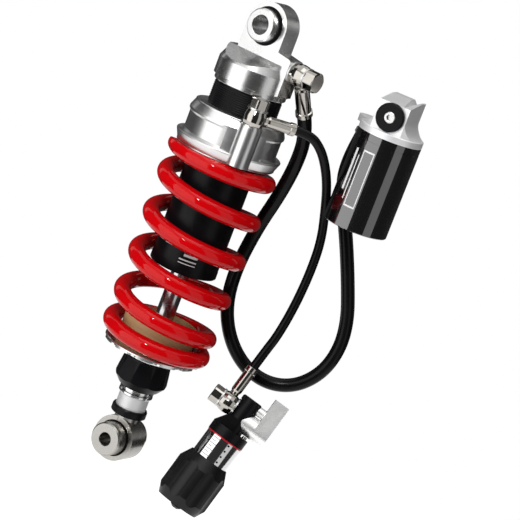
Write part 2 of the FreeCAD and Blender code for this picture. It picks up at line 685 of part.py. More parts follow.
# ---------------------------------------------------------------- preload cylinder and piston
def preload_cylinder():
    """The aluminium collar on the tube: rim, cone, waist and flange, with a banjo column."""
    body = turned([
        ("tube_radius + fit_gap", "collar_top"), ("collar_rim_radius - edge_break", "collar_top"),
        ("collar_rim_radius", "collar_top - edge_break"), ("collar_rim_radius", "collar_cone_top"),
        ("collar_lip_radius", "collar_lip_top"), ("collar_lip_radius", "collar_lip_bottom"),
        ("collar_waist_radius", "collar_lip_bottom - collar_lip_height"),
        ("collar_waist_radius", "collar_flange_top + collar_lip_height"),
        ("collar_lip_radius", "collar_flange_top"),
        ("collar_flange_radius - edge_break", "collar_flange_top"),
        ("collar_flange_radius", "collar_flange_top - edge_break"),
        ("collar_flange_radius", "collar_flange_top - 2*edge_break"),
        ("collar_foot_radius", "collar_foot"), ("cavity_outer_radius", "collar_foot"),
        ("cavity_outer_radius", "cavity_top"), ("cavity_inner_radius", "cavity_top"),
        ("cavity_inner_radius", "collar_foot"), ("tube_radius + fit_gap", "collar_foot")])
    column = cylinder("column_radius", "column_height", "collar_foot", ("column_x", "column_y"))
    hollow = tube("cavity_inner_radius", "cavity_outer_radius", "collar_foot", "cavity_top")
    clear = joined([hollow, cylinder("tube_radius + fit_gap", "column_height", "collar_foot")])
    facing = Rotation(Z, cell("column_turn"))
    corner = facing.multVec(Vector(0, -cell("cheek_half"), cell("collar_flange_top")))
    sector = doc.addObject("Part::Box", "CheekRoom")
    bind(sector, Length="collar_lip_radius", Width="2*cheek_half",
         Height="collar_lip_bottom - collar_flange_top")
    sector.Placement = Placement(corner, facing)
    wall = tube("cavity_outer_radius", "collar_lip_radius", "collar_flange_top", "collar_lip_bottom")
    cheek = boolean("Common", wall, sector)
    boss = boolean("Cut", joined([column, cheek]), clear)
    port = cylinder("union_eight_bolt", "bolt_reach", "-column_drop - bolt_reach",
                    ("column_x", "column_y"))
    inward = Vector(-cell("column_x"), -cell("column_y"), 0).normalize()
    level = number("-column_drop - bolt_reach")
    drilling = along(Vector(cell("column_x"), cell("column_y"), level), inward, Z)
    gallery = cylinder("column_oil_radius", "column_distance - cavity_inner_radius",
                       frame=drilling)
    spot_face = cylinder("union_eight_radius + body_gap", "column_drop - collar_drop + body_gap",
                         "-column_drop", ("column_x", "column_y"))
    tools = joined([port, gallery, spot_face])
    keep(boolean("Cut", joined([body, boss]), tools), "preload_cylinder", HERE)


def preload_piston():
    """The annular piston whose foot the spring bears on, and its two seals."""
    inner = "cavity_inner_radius + fit_gap"
    outer = "cavity_outer_radius - fit_gap"
    groove_low = "preload_piston_top - 2*preload_seal_height"
    groove_high = "preload_piston_top - preload_seal_height"
    ring = turned([
        (inner, "coil_top"), ("collar_foot_radius - edge_break", "coil_top"),
        ("collar_foot_radius", "coil_top + edge_break"), ("collar_foot_radius", "preload_flange_top"),
        (outer, "preload_flange_top"), (outer, groove_low),
        (f"{outer} - preload_seal_depth", groove_low), (f"{outer} - preload_seal_depth", groove_high),
        (outer, groove_high), (outer, "preload_piston_top"), (inner, "preload_piston_top"),
        (inner, groove_high), (f"{inner} + preload_seal_depth", groove_high),
        (f"{inner} + preload_seal_depth", groove_low), (inner, groove_low)])
    keep(ring, "preload_piston", HERE)
    seals = [tube(f"{outer} - preload_seal_depth", outer, groove_low, groove_high),
             tube(inner, f"{inner} + preload_seal_depth", groove_low, groove_high)]
    keep(grouped(seals), "preload_piston_seals", HERE)


# ---------------------------------------------------------------- spring and lower seat
def coil_spring():
    """A left-handed wire with closed, ground ends."""
    radius = cell("coil_radius")
    active = cell("coil_active_turns")
    runs = [(cell("coil_close_bottom"), cell("coil_close_pitch")), (active, cell("coil_pitch")),
            (cell("coil_close_top"), cell("coil_close_pitch"))]
    rise = sum(turns * pitch for turns, pitch in runs)
    level = cell("coil_top") - cell("wire_radius") + cell("coil_ground") - rise
    angle = cell("coil_start_turn") + 360 * sum(turns for turns, pitch in runs)
    edges = []
    for turns, pitch in runs:
        run = Part.makeHelix(pitch, turns * pitch, radius, 0, True)
        run.Placement = Placement(Vector(0, 0, level), Rotation(Z, angle))
        edges.extend(run.Edges)
        level += turns * pitch
        angle -= 360 * turns
    path = Part.Wire(edges)
    first = path.OrderedEdges[0]
    start = first.valueAt(first.FirstParameter)
    heading = first.tangentAt(first.FirstParameter)
    section = Part.Wire([Part.Circle(start, heading, cell("wire_radius")).toShape()])
    wire = path.makePipeShell([section], True, True)
    room = Part.makeCylinder(2 * radius, cell("coil_length"), Vector(0, 0, cell("coil_bottom")))
    keep(shaped(wire.common(room)), "coil_spring")


def lower_spring_seat():
    """Turned seat with a scalloped rim, the spring's guide sleeve and the bump stop."""
    plate = turned([
        ("rod_radius + fit_gap", "coil_bottom"), ("seat_rim_radius - edge_break", "coil_bottom"),
        ("seat_rim_radius", "coil_bottom - edge_break"), ("seat_rim_radius", "seat_rim_bottom"),
        ("seat_step_radius", "seat_rim_bottom"), ("seat_step_radius - edge_break", "seat_step_bottom"),
        ("seat_hub_radius", "seat_step_bottom"), ("seat_hub_radius - edge_break", "seat_bottom"),
        ("rod_radius + fit_gap", "seat_bottom")])
    notch = cylinder("seat_notch_radius", "seat_rim_height/2", "seat_rim_bottom",
                     ("seat_rim_radius + seat_notch_radius/2", "0"))
    ring = shaped(Part.Shape())
    doc.recompute()
    step = 360 / cell("seat_notch_count")
    notches = []
    for index in range(int(cell("seat_notch_count"))):
        copy = notch.Shape.copy()
        copy.rotate(Vector(0, 0, 0), Z, step * (index + 0.5))
        notches.append(copy)
    ring.Shape = Part.makeCompound(notches)
    keep(boolean("Cut", plate, ring), "lower_spring_seat", HERE)

    sleeve = tube("end_cap_radius + body_gap", "end_cap_radius + body_gap + guide_wall",
                  "coil_bottom", "guide_top", "edge_break")
    keep(sleeve, "spring_guide", HERE)

    stop = turned([
        ("rod_radius + body_gap", "coil_bottom"), ("bump_radius", "coil_bottom"),
        ("bump_radius", "coil_bottom + bump_fold"), ("bump_waist_radius", "coil_bottom + 2*bump_fold"),
        ("bump_radius - edge_break", "coil_bottom + 3*bump_fold"),
        ("bump_waist_radius - edge_break", "bump_top"),
        ("rod_radius + body_gap", "bump_top")])
    keep(stop, "bump_stop", HERE)


# ---------------------------------------------------------------- rod, piston and rod end
def rod_and_piston():
    rod = turned([
        ("needle_bore_radius", "rod_foot"), ("rod_radius", "rod_foot"),
        ("rod_radius", "rod_shoulder"), ("rod_tip_radius", "rod_shoulder"),
        ("rod_tip_radius", "rod_top"), ("needle_bore_radius", "rod_top")])
    keep(rod, "damper_rod", rod_frame)
    face = "tube_bore_radius - piston_gap"
    low = "piston_bottom + piston_height/2 - band_height/2"
    high = "piston_bottom + piston_height/2 + band_height/2"
    blank = turned([
        ("rod_tip_radius", "piston_bottom"), (face, "piston_bottom"), (face, low),
        (f"{face} - band_depth", low), (f"{face} - band_depth", high), (face, high),
        (face, "piston_top"), ("rod_tip_radius", "piston_top")])
    ports = []
    port_circle = number("rod_tip_radius/2 + tube_bore_radius/2")
    for index in range(int(cell("piston_ports"))):
        turn_angle = math.radians(360 / cell("piston_ports") * index)
        port = Part.makeCylinder(cell("piston_port_radius"), cell("piston_height"),
                                 Vector(port_circle * math.cos(turn_angle),
                                        port_circle * math.sin(turn_angle),
                                        cell("piston_bottom")))
        ports.append(port)
    keep(boolean("Cut", blank, shaped(Part.makeCompound(ports))), "main_piston", rod_frame)
    keep(tube(f"{face} - band_depth", "tube_bore_radius - fit_gap", low, high), "piston_band",
         rod_frame)

    shims = []
    for index in range(int(cell("shim_count"))):
        low = f"piston_top + {index}*shim_thickness"
        shims.append(tube("rod_tip_radius", f"shim_radius - {index}*shim_step", low,
                          f"{low} + shim_thickness"))
    keep(grouped(shims), "shim_stack", rod_frame)
    nut = boolean("Cut", hexagon("nut_flats", "nut_height", "shims_top"),
                  cylinder("rod_tip_radius", "nut_height", "shims_top"))
    keep(nut, "piston_nut", rod_frame)
    needle = turned([
        ("0", "rod_foot"), ("needle_radius", "rod_foot"),
        ("needle_radius", "rod_top - 2*needle_radius"), ("0", "rod_top")])
    keep(needle, "rebound_needle", rod_frame)


def rod_end():
    """Lower eye with its shank, the two rings, the sleeve and the black saddle ring."""
    across = Placement(Vector(0, -cell("lower_eye_width") / 2, cell("lower_eye_level")),
                       Rotation(X, -90))
    eye = cylinder("lower_eye_radius", "lower_eye_width", frame=across)
    shank = turned([
        ("rod_radius", "rings_bottom"), ("rod_radius", "shank_top"), ("shank_radius", "shank_top"),
        ("shank_radius", "lower_eye_level"), ("0", "lower_eye_level"), ("0", "rings_bottom")])
    past = Placement(Vector(0, -cell("lower_reach"), cell("lower_eye_level")), Rotation(X, -90))
    bore = cylinder("lower_race_radius", "2*lower_reach", frame=past)
    keep(boolean("Cut", joined([eye, shank]), bore), "lower_eye", rod_frame)

    rings = []
    for low in ("rings_bottom", "rings_bottom + ring_height"):
        rings.append(turned([
            ("shank_radius", low), (f"ring_radius - ring_groove", low),
            ("ring_radius", f"{low} + ring_groove"),
            ("ring_radius", f"{low} + ring_height - ring_groove"),
            ("ring_radius - ring_groove", f"{low} + ring_height"),
            ("shank_radius", f"{low} + ring_height")]))
    keep(grouped(rings), "rod_end_rings", rod_frame)
    sleeve = tube("shank_radius", "sleeve_radius", "sleeve_bottom", "rings_bottom")
    clear = cylinder("lower_eye_radius", "lower_eye_width", frame=across)
    keep(boolean("Cut", sleeve, clear), "rod_end_sleeve", rod_frame)
    saddle = turned([
        ("sleeve_radius", "saddle_bottom"), ("saddle_radius - edge_break", "saddle_bottom"),
        ("saddle_radius", "saddle_bottom + edge_break"),
        ("saddle_radius", "saddle_top - 2*edge_break"),
        ("saddle_radius - edge_break", "saddle_top"), ("sleeve_radius", "saddle_top")])
    clear = cylinder("lower_eye_radius", "lower_eye_width", frame=across)
    keep(boolean("Cut", saddle, clear), "rod_saddle_ring", rod_frame)


def rebound_knob():
    """Faceted adjuster knob that turns round the shank."""
    blank = turned([
        ("shank_radius + fit_gap", "rebound_bottom"), ("rebound_foot_radius", "rebound_bottom"),
        ("rebound_radius", "rebound_belly - edge_break"), ("rebound_radius", "rebound_belly"),
        ("rebound_top_radius", "rebound_top - edge_break"),
        ("rebound_top_radius - edge_break", "rebound_top"),
        ("shank_radius + fit_gap", "rebound_top")])
    sections = []
    widen = 1 / math.cos(math.pi / cell("knob_facets"))
    for level, radius in (("rebound_top", "rebound_top_radius"),
                          ("rebound_bottom", "rebound_radius")):
        ring = doc.addObject("Part::RegularPolygon", "Facets")
        ring.Polygon = int(cell("knob_facets"))
        bind(ring, Circumradius=f"({radius} - rebound_facet_inset)*{widen}", Base_z=level)
        sections.append(ring)
    tapered = doc.addObject("Part::Loft", "Tapered")
    tapered.Sections = sections
    tapered.Solid = True
    tapered.Ruled = True
    keep(boolean("Common", blank, tapered), "rebound_knob", rod_frame)


# ---------------------------------------------------------------- reservoir
def reservoir_cap():
    """Milled cap: flange and spigot, block with a flat face, sloped top, scoops and a lug."""
    body = doc.addObject("PartDesign::Body", "Cap")
    turn(body, [
        ("0", "-cap_spigot_height"), ("reservoir_bore_radius", "-cap_spigot_height"),
        ("reservoir_bore_radius", "0"), ("reservoir_radius", "0"),
        ("reservoir_radius", "cap_flange_height - edge_break"),
        ("reservoir_radius - edge_break", "cap_flange_height"), ("0", "cap_flange_height")])
    slab(body, [
        ("-cap_face_reach", "0"), ("cap_back_reach", "0"), ("cap_back_reach", "cap_height"),
        ("cap_ridge_place", "cap_height"), ("-cap_face_reach", "cap_face_height")],
        "2*cap_block_half", "YZ_Plane")

    flare = cylinder("reservoir_radius - 2*edge_break", "cap_flange_height + cap_scoop_radius")
    keep_in = doc.addObject("Part::Box", "FlareRoom")
    bind(keep_in, Length="2*reservoir_radius", Width="cap_face_reach + cap_back_reach",
         Height="cap_height", Base_x="-reservoir_radius", Base_y="-cap_face_reach")
    scoops = []
    for side in ("", "-"):
        centre = Placement(Vector(0, -2 * cell("cap_face_reach"), 0), Rotation(X, -90))
        scoop = cylinder("cap_scoop_radius", "4*cap_face_reach", frame=centre)
        bind(scoop, Base_x=f"{side}(cap_block_half + cap_scoop_radius)",
             Base_z="cap_flange_height + cap_scoop_radius")
        scoops.append(scoop)
    flares = boolean("Cut", boolean("Common", flare, keep_in), joined(scoops))

    reach = math.hypot(cell("port_x"), cell("port_y"))
    heading = math.degrees(math.atan2(cell("port_y"), cell("port_x")))
    web = doc.addObject("Part::Box", "PortWeb")
    bind(web, Width="2*port_radius", Height="port_lug_height")
    web.Length = reach
    web.Placement = Placement(Rotation(Z, heading).multVec(Vector(0, -cell("port_radius"), 0)),
                              Rotation(Z, heading))
    lug = cylinder("port_radius", "port_lug_height", "0", ("port_x", "port_y"))
    whole = joined([body, flares, web, lug])

    local_port = reservoir_frame.inverse() * port_frame
    port = cylinder("union_ten_ferrule + fit_gap", "port_lug_height", frame=local_port)
    bind(port, Height="port_lug_height/2")
    low_port = local_port * Placement(Vector(0, 0, -cell("port_lug_height")), Rotation())
    mouth = cylinder("union_ten_ferrule + fit_gap", "port_lug_height", frame=low_port)
    pocket_frame = reservoir_frame.inverse() * dial_frame * Placement(
        Vector(0, 0, -cell("dial_depth")), Rotation())
    pocket = cylinder("dial_pocket_radius + fit_gap", "2*dial_depth", frame=pocket_frame)
    notch = doc.addObject("PartDesign::Body", "Notch")
    slab(notch, [
        ("cap_notch_place", "cap_height - cap_notch_depth"),
        ("cap_notch_place + cap_notch_depth", "cap_height + edge_break"),
        ("cap_notch_place - cap_notch_depth", "cap_height + edge_break")], "4*cap_back_reach")
    keep(boolean("Cut", whole, joined([port, mouth, pocket, notch])), "reservoir_cap",
         reservoir_frame)


def reservoir():
    reservoir_cap()
    fitting = turned([
        ("union_ten_bolt/3", "port_lug_height/2"), ("union_ten_ferrule", "port_lug_height/2"),
        ("union_ten_ferrule", "-port_drop + union_end_length"),
        ("union_ten_end", "-port_drop + union_end_length - edge_break"),
        ("union_ten_end", "-port_drop + edge_break"), ("union_ten_end - edge_break", "-port_drop"),
        ("union_ten_bolt/3", "-port_drop")])
    keep(fitting, "reservoir_hose_fitting", port_frame)

    groove_top = "-reservoir_groove_drop"
    groove_low = "-reservoir_groove_drop - reservoir_groove_height"
    waist = "reservoir_radius - reservoir_groove_depth"
    shell = turned([
        ("reservoir_bore_radius", "-reservoir_length"),
        ("reservoir_radius - edge_break", "-reservoir_length"),
        ("reservoir_radius", "-reservoir_length + edge_break"), ("reservoir_radius", groove_low),
        (waist, groove_low), (waist, groove_top), ("reservoir_radius", groove_top),
        ("reservoir_radius", "0"), ("reservoir_bore_radius", "0")])
    keep(shell, "reservoir_tube", reservoir_frame)
    plug_low = "-reservoir_length + end_plug_inset"
    plug = turned([
        ("valve_radius", plug_low), ("reservoir_bore_radius", plug_low),
        ("reservoir_bore_radius", f"{plug_low} + end_plug_height"),
        ("valve_radius", f"{plug_low} + end_plug_height")])
    keep(plug, "reservoir_end_cap", reservoir_frame)
    valve = turned([
        ("0", plug_low), ("valve_radius", plug_low), ("valve_radius", f"{plug_low} + end_plug_height"),
        ("valve_radius/2", f"{plug_low} + end_plug_height + edge_break"),
        ("0", f"{plug_low} + end_plug_height + edge_break")])
    keep(valve, "gas_valve", reservoir_frame)

    low = "-floating_level"
    high = "-floating_level + floating_height"
    face = "reservoir_bore_radius - floating_gap"
    ring_low = f"{low} + floating_height/2 - floating_ring_height/2"
    ring_high = f"{low} + floating_height/2 + floating_ring_height/2"
    piston = turned([
        ("0", low), (face, low), (face, ring_low), (f"{face} - floating_ring_depth", ring_low),
        (f"{face} - floating_ring_depth", ring_high), (face, ring_high), (face, high), ("0", high)])
    keep(piston, "floating_piston", reservoir_frame)
    keep(tube(f"{face} - floating_ring_depth", "reservoir_bore_radius - fit_gap", ring_low,
              ring_high), "floating_piston_ring", reservoir_frame)

    dial = turned([
        ("dial_screw_radius + fit_gap", "-dial_depth"), ("dial_pocket_radius", "-dial_depth"),
        ("dial_pocket_radius", "body_gap"), ("dial_radius", "body_gap"),
        ("dial_radius", "dial_proud - 2*edge_break"), ("dial_radius - 2*edge_break", "dial_proud"),
        ("dial_screw_radius + fit_gap", "dial_proud")])
    keep(dial, "compression_dial", dial_frame)
    screw = turned([
        ("0", "-dial_depth"), ("dial_screw_radius", "-dial_depth"),
        ("dial_screw_radius", "dial_proud + screw_proud - edge_break"),
        ("dial_screw_radius - edge_break", "dial_proud + screw_proud"),
        ("0", "dial_proud + screw_proud")])
    socket = hexagon("screw_socket_flats", "screw_socket_depth + screw_proud",
                     "dial_proud - screw_socket_depth")
    keep(boolean("Cut", screw, socket), "compression_screw", dial_frame)


# ---------------------------------------------------------------- remote preload adjuster
def adjuster_body():
    """Black housing: round foot, slanted arm and the upright with the union's seat."""
    body = turned([
        ("0", "0"), ("housing_foot_radius", "0"), ("housing_foot_radius", "housing_foot_height"),
        ("housing_radius", "housing_foot_height"),
        ("housing_radius", "housing_top - 2*edge_break"),
        ("housing_radius - 2*edge_break", "housing_top"), ("0", "housing_top")])
    slab(body, [
        ("0", "housing_foot_height"), ("-housing_foot_radius + edge_break", "housing_foot_height"),
        ("-housing_radius", "housing_arm_top"), ("0", "housing_arm_top")], "2*housing_radius")
    chamber = cylinder("housing_bore_radius", "housing_foot_height - 2*edge_break")
    rising = cylinder("column_oil_radius", "union_level")
    level = cell("union_level")
    seat = cylinder("union_eight_radius + body_gap", "housing_foot_radius",
                    frame=along(Vector(-cell("union_seat"), 0, level), -X, Z))
    port = cylinder("union_eight_bolt", "bolt_reach",
                    frame=along(Vector(-cell("union_seat"), 0, level), X, Z))
    whole = boolean("Cut", body, joined([chamber, rising, seat, port]))
    keep(whole, "adjuster_body", adjuster_frame)


def adjuster_bracket():
    """Boss and square-ended plate that bolt the adjuster to the frame of the machine."""
    plate = doc.addObject("Part::Box", "Plate")
    bind(plate, Length="bracket_top - bracket_level", Width="bracket_width",
         Height="bracket_thickness", Base_y="-bracket_boss_radius", Base_z="bracket_face")
    boss = cylinder("bracket_boss_radius", "bracket_face + bracket_thickness")
    post = cylinder("bracket_post_radius", "bracket_face", "0",
                    ("bracket_post_level - bracket_level", "0"))
    hole = cylinder("bracket_hole_radius", "bracket_thickness", "bracket_face",
                    ("bracket_hole_level - bracket_level", "0"))
    column = cylinder("housing_radius", "2*bracket_top",
                      frame=Placement(Vector(-cell("bracket_top"), 0, 0), Rotation(Y, 90)))
    solid = boolean("Cut", joined([plate, boss, post]), joined([hole, column]))
    keep(solid, "adjuster_bracket", bracket_frame)
    screw = cylinder("clamp_screw_radius", "clamp_screw_height", "housing_foot_height",
                     ("clamp_screw_level", "0"))
    hollow = hexagon("clamp_screw_radius", "clamp_screw_height/2",
                     "housing_foot_height + clamp_screw_height/2")
    keep(boolean("Cut", screw, hollow), "bracket_screw", adjuster_frame)


def adjuster():
    adjuster_body()
    adjuster_bracket()
    keep(tube("housing_bore_radius", "barrel_radius + body_gap", "-red_ring_height", "0"),
         "adjuster_red_ring", adjuster_frame)
    barrel = turned([
        ("plunger_stem_radius + fit_gap", "barrel_bottom"), ("barrel_radius", "barrel_bottom"),
        ("barrel_radius", "-red_ring_height"), ("housing_bore_radius", "-red_ring_height"),
        ("housing_bore_radius", "barrel_bottom + barrel_end_height"),
        ("plunger_stem_radius + fit_gap", "barrel_bottom + barrel_end_height")])
    keep(barrel, "adjuster_barrel", adjuster_frame)

    groove_low = "plunger_level + plunger_head_height/2 - plunger_seal_height/2"
    groove_high = "plunger_level + plunger_head_height/2 + plunger_seal_height/2"
    plunger = turned([
        ("0", "grip_floor_level + body_gap"), ("plunger_stem_radius", "grip_floor_level + body_gap"),
        ("plunger_stem_radius", "plunger_level"), ("plunger_radius", "plunger_level"),
        ("plunger_radius", groove_low), ("plunger_radius - plunger_seal_depth", groove_low),
        ("plunger_radius - plunger_seal_depth", groove_high), ("plunger_radius", groove_high),
        ("plunger_radius", "plunger_top"), ("0", "plunger_top")])
    keep(plunger, "preload_plunger", adjuster_frame)
    keep(tube("plunger_radius - plunger_seal_depth", "plunger_radius", groove_low, groove_high),
         "plunger_seal", adjuster_frame)

    blank = turned([
        ("grip_screw_shank + fit_gap", "grip_bottom"), ("grip_foot_radius", "grip_bottom"),
        ("grip_radius", "grip_bottom + grip_foot_height"), ("grip_radius", "grip_top - grip_taper"),
        ("grip_mouth_radius", "grip_top"), ("barrel_radius + barrel_wall_gap", "grip_top"),
        ("barrel_radius + barrel_wall_gap", "grip_floor_level"),
        ("grip_screw_shank + fit_gap", "grip_floor_level")])
    flutes = []
    for index in range(int(cell("grip_flutes"))):
        angle = math.radians(360 / cell("grip_flutes") * (index + 0.5))
        distance = number("grip_radius + grip_flute_radius - grip_flute_depth")
        flutes.append(Part.makeCylinder(
            cell("grip_flute_radius"), cell("grip_length"),
            Vector(distance * math.cos(angle), distance * math.sin(angle), cell("grip_bottom"))))
    grip = boolean("Cut", blank, shaped(Part.makeCompound(flutes)))
    keep(grip, "preload_knob", adjuster_frame)
    screw = turned([
        ("0", "grip_floor_level"), ("grip_screw_shank", "grip_floor_level"),
        ("grip_screw_shank", "grip_bottom"), ("grip_screw_radius", "grip_bottom"),
        ("grip_screw_radius", "grip_bottom - grip_screw_proud/2"),
        ("grip_screw_radius/2", "grip_bottom - grip_screw_proud"),
        ("0", "grip_bottom - grip_screw_proud")])
    keep(screw, "preload_knob_screw", adjuster_frame)


# ---------------------------------------------------------------- the whole shock
eye_bearing("upper", upper_frame)
top_mount()
unions()
hoses()
damper_tube()
preload_cylinder()
preload_piston()
coil_spring()
lower_spring_seat()
rod_and_piston()
rod_end()
rebound_knob()
eye_bearing("lower", lower_frame)
reservoir()
adjuster()
doc.recompute()

# ---------------------------------------------------------------- checks and export
faults = [f"{item.Label}: {item.State}" for item in doc.Objects
          if "Invalid" in item.State or "Error" in item.State]
for piece in pieces:
    shape = piece.Shape
    if shape.isNull() or not shape.isValid() or not shape.Solids:
        faults.append(f"{piece.Label}: no valid solid")
if faults:
    raise RuntimeError("; ".join(faults))

os.makedirs("parts", exist_ok=True)
for piece in pieces:
    piece.Shape.exportStep(f"parts/{piece.Label}.step")
print(len(pieces), "sub-parts")
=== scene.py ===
import math

import bmesh
import bpy
from mathutils import Matrix, Vector


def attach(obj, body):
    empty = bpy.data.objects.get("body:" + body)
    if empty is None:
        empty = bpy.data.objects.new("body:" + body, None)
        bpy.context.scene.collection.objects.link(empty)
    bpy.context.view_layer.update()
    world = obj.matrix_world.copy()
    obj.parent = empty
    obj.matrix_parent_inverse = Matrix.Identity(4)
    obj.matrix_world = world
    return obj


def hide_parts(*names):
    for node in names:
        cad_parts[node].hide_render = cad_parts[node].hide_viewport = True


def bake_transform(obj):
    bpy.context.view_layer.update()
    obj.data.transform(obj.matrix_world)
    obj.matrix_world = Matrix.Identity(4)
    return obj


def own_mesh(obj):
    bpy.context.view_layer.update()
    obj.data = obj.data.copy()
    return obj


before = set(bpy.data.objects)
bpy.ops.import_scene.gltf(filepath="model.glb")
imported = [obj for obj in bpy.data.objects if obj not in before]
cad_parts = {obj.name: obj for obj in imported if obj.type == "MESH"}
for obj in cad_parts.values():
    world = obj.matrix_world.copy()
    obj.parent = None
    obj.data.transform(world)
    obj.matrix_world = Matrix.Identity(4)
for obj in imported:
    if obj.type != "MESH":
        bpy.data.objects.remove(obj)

bl_info = {
    "name": "Motorcycle rear shock absorber",
    "version": (1, 0, 0),
    "blender": (4, 5, 0),
    "location": "View3D > Sidebar > Shock",
    "description": "Builds the looks of a rear shock absorber round its packed frame",
    "category": "Object",
}

# ---------------------------------------------------------------- places, in millimetres
MM = 0.001
COIL_TOP = -97.0
COIL_BOTTOM = -248.5
COIL_SPLIT = -127.0
COIL_FOOT_LEVEL = -245.5
COIL_FOOT_ANGLE = 81.0
# turns and pitch of the closed foot, of the open run and of the closed head
COIL_RUNS = ((1.037, 13.0), (4.1, 30.73), (0.463, 13.0))
TUBE_RADIUS = 25.0
RESERVOIR_RADIUS = 23.8
BARREL_RADIUS = 14.3
# how far the fitting of a union reaches, and its height
OIL_FITTING = (35, 11.6)
PRELOAD_FITTING = (31.2, 11.2)
WASHER = 1.2
RESERVOIR_ROUTE = (
    (33, 41, -84.5), (26, 46, -112), (16, 48, -145), (11.6, 47.4, -180), (14, 49, -208),
    (23.7, 55, -231), (38.3, 64.6, -247), (55.4, 75.9, -253), (72, 87, -247.5),
    (84.7, 95, -231), (89.7, 98.4, -209), (88.2, 96.4, -186), (81, 90.5, -161),
    (70.4, 83.4, -131), (58.4, 74.6, -100.5),
)
PRELOAD_ROUTE = (
    (58, 25, -67), (60.4, 34.6, -78), (60.6, 45.2, -91.5), (59.2, 56.2, -108),
    (62.7, 62.7, -134), (63.1, 63.6, -160), (61.7, 62.7, -187), (58.8, 60.2, -212),
)


def spun(axis, degrees):
    """A turn about one of the three axes."""
    return Matrix.Rotation(math.radians(degrees), 4, axis)


def along(origin, axis, across):
    """The frame at origin whose Z is axis and whose X is across."""
    z = Vector(axis).normalized()
    x = Vector(across).normalized()
    facing = Matrix((x, z.cross(x), z)).transposed().to_4x4()
    return Matrix.Translation(Vector(origin)) @ facing


def compass(distance, degrees, level):
    """The point at a distance and direction from the damper's axis."""
    turn = math.radians(degrees)
    return Vector((distance * math.cos(turn), distance * math.sin(turn), level))


DAMPER = Matrix.Identity(4)
ROD_END = spun("Z", 7)
UPPER_EYE = spun("X", -90)
LOWER_EYE = Matrix.Translation((0, 0, -322)) @ ROD_END @ spun("X", -90)
RESERVOIR = Matrix.Translation(compass(105, 33.3, -42.8)) @ spun("Z", 18)
DIAL = RESERVOIR @ Matrix.Translation((0, -20.4, 15.7)) @ spun("X", 90)
PORT = (Matrix.Translation(RESERVOIR @ Vector((-23.5, 21.5, 0)))
        @ spun("Z", 33.3) @ spun("Y", 9))
ADJUSTER = (Matrix.Translation(compass(73.2, 33.3, -294.3))
            @ spun("Z", 33.3) @ spun("X", -15) @ spun("Y", 15.5))
HEAD_UNION = along((30, 0, -22.5), (1, 0, 0), spun("X", 38) @ Vector((0, 0, -1)))
COLLAR_UNION = along(compass(36.5, -38.3, -66), (0, 0, 1), compass(1, 55.9, 0))
ADJUSTER_UNION = ADJUSTER @ along((-7.4, 0, 22.6), (-1, 0, 0), (0, 0, 1))


# ---------------------------------------------------------------- what a user would change
class ShockSizes(bpy.types.PropertyGroup):
    """Sizes of the pieces that are modelled here, in metres."""
    wire: bpy.props.FloatProperty(
        name="Spring wire", description="Diameter of the spring's wire",
        default=0.0125, min=0.004, max=0.02, unit="LENGTH")
    coil: bpy.props.FloatProperty(
        name="Coil", description="Diameter of the coil, to the middle of the wire",
        default=0.0715, min=0.06, max=0.09, unit="LENGTH")
    oil_hose: bpy.props.FloatProperty(
        name="Reservoir hose", description="Diameter of the hose to the reservoir",
        default=0.0103, min=0.006, max=0.012, unit="LENGTH")
    preload_hose: bpy.props.FloatProperty(
        name="Preload hose", description="Diameter of the hose to the remote adjuster",
        default=0.0068, min=0.004, max=0.008, unit="LENGTH")
    thread: bpy.props.FloatProperty(
        name="Thread pitch", description="Pitch of the thread on the damper tube",
        default=0.0015, min=0.0008, max=0.003, unit="LENGTH")
    # radius of the Bevel node that finds edges for the painted edge highlight; no edge is
    # rounded in the mesh
    edge: bpy.props.FloatProperty(
        name="Edge highlight reach", description="How far machined edges are rounded",
        default=0.0004, min=0.0, max=0.001, unit="LENGTH")


class ShockColours(bpy.types.PropertyGroup):
    """Colours of the finishes."""
    spring: bpy.props.FloatVectorProperty(
        name="Spring", description="Powder coat of the spring",
        default=(0.54, 0.001, 0.003), size=3, min=0, max=1, subtype="COLOR")
    aluminium: bpy.props.FloatVectorProperty(
        name="Aluminium", description="Machined aluminium of the head, collar and seat",
        default=(0.64, 0.64, 0.635), size=3, min=0, max=1, subtype="COLOR")
    nickel: bpy.props.FloatVectorProperty(
        name="Nickel", description="Plating of the hose unions",
        default=(0.4, 0.38, 0.35), size=3, min=0, max=1, subtype="COLOR")
    steel: bpy.props.FloatVectorProperty(
        name="Steel", description="Steel of the lower eye and the spacers",
        default=(0.33, 0.32, 0.3), size=3, min=0, max=1, subtype="COLOR")
    black: bpy.props.FloatVectorProperty(
        name="Black", description="Black coating of the tubes and knobs",
        default=(0.0025, 0.0025, 0.003), size=3, min=0, max=1, subtype="COLOR")
    rubber: bpy.props.FloatVectorProperty(
        name="Rubber", description="Rubber of the hoses and seals",
        default=(0.004, 0.004, 0.0042), size=3, min=0, max=1, subtype="COLOR")
    guide: bpy.props.FloatVectorProperty(
        name="Guide", description="Sleeve that guides the spring",
        default=(0.6, 0.4, 0.19), size=3, min=0, max=1, subtype="COLOR")
    red: bpy.props.FloatVectorProperty(
        name="Red ring", description="Ring of the remote adjuster and the label's bar",
        default=(0.6, 0.008, 0.02), size=3, min=0, max=1, subtype="COLOR")


class ShockStudio(bpy.types.PropertyGroup):
    """Light and floor."""
    lamps: bpy.props.FloatProperty(
        name="Lamps", description="Strength of all lamps", default=1.0, min=0, max=4)
    fill: bpy.props.FloatProperty(
        name="Fill", description="Light that comes from all round", default=0.28, min=0,
        max=2)
    surround: bpy.props.FloatProperty(
        name="Flags", description="Brightness of the dark flags that metal mirrors",
        default=0.04, min=0, max=1)
    paper: bpy.props.FloatProperty(
        name="Paper", description="How much the floor is lifted towards white", default=0.75,
        min=0, max=1)
    floor: bpy.props.FloatProperty(
        name="Floor", description="Level of the floor", default=-0.62, unit="LENGTH")


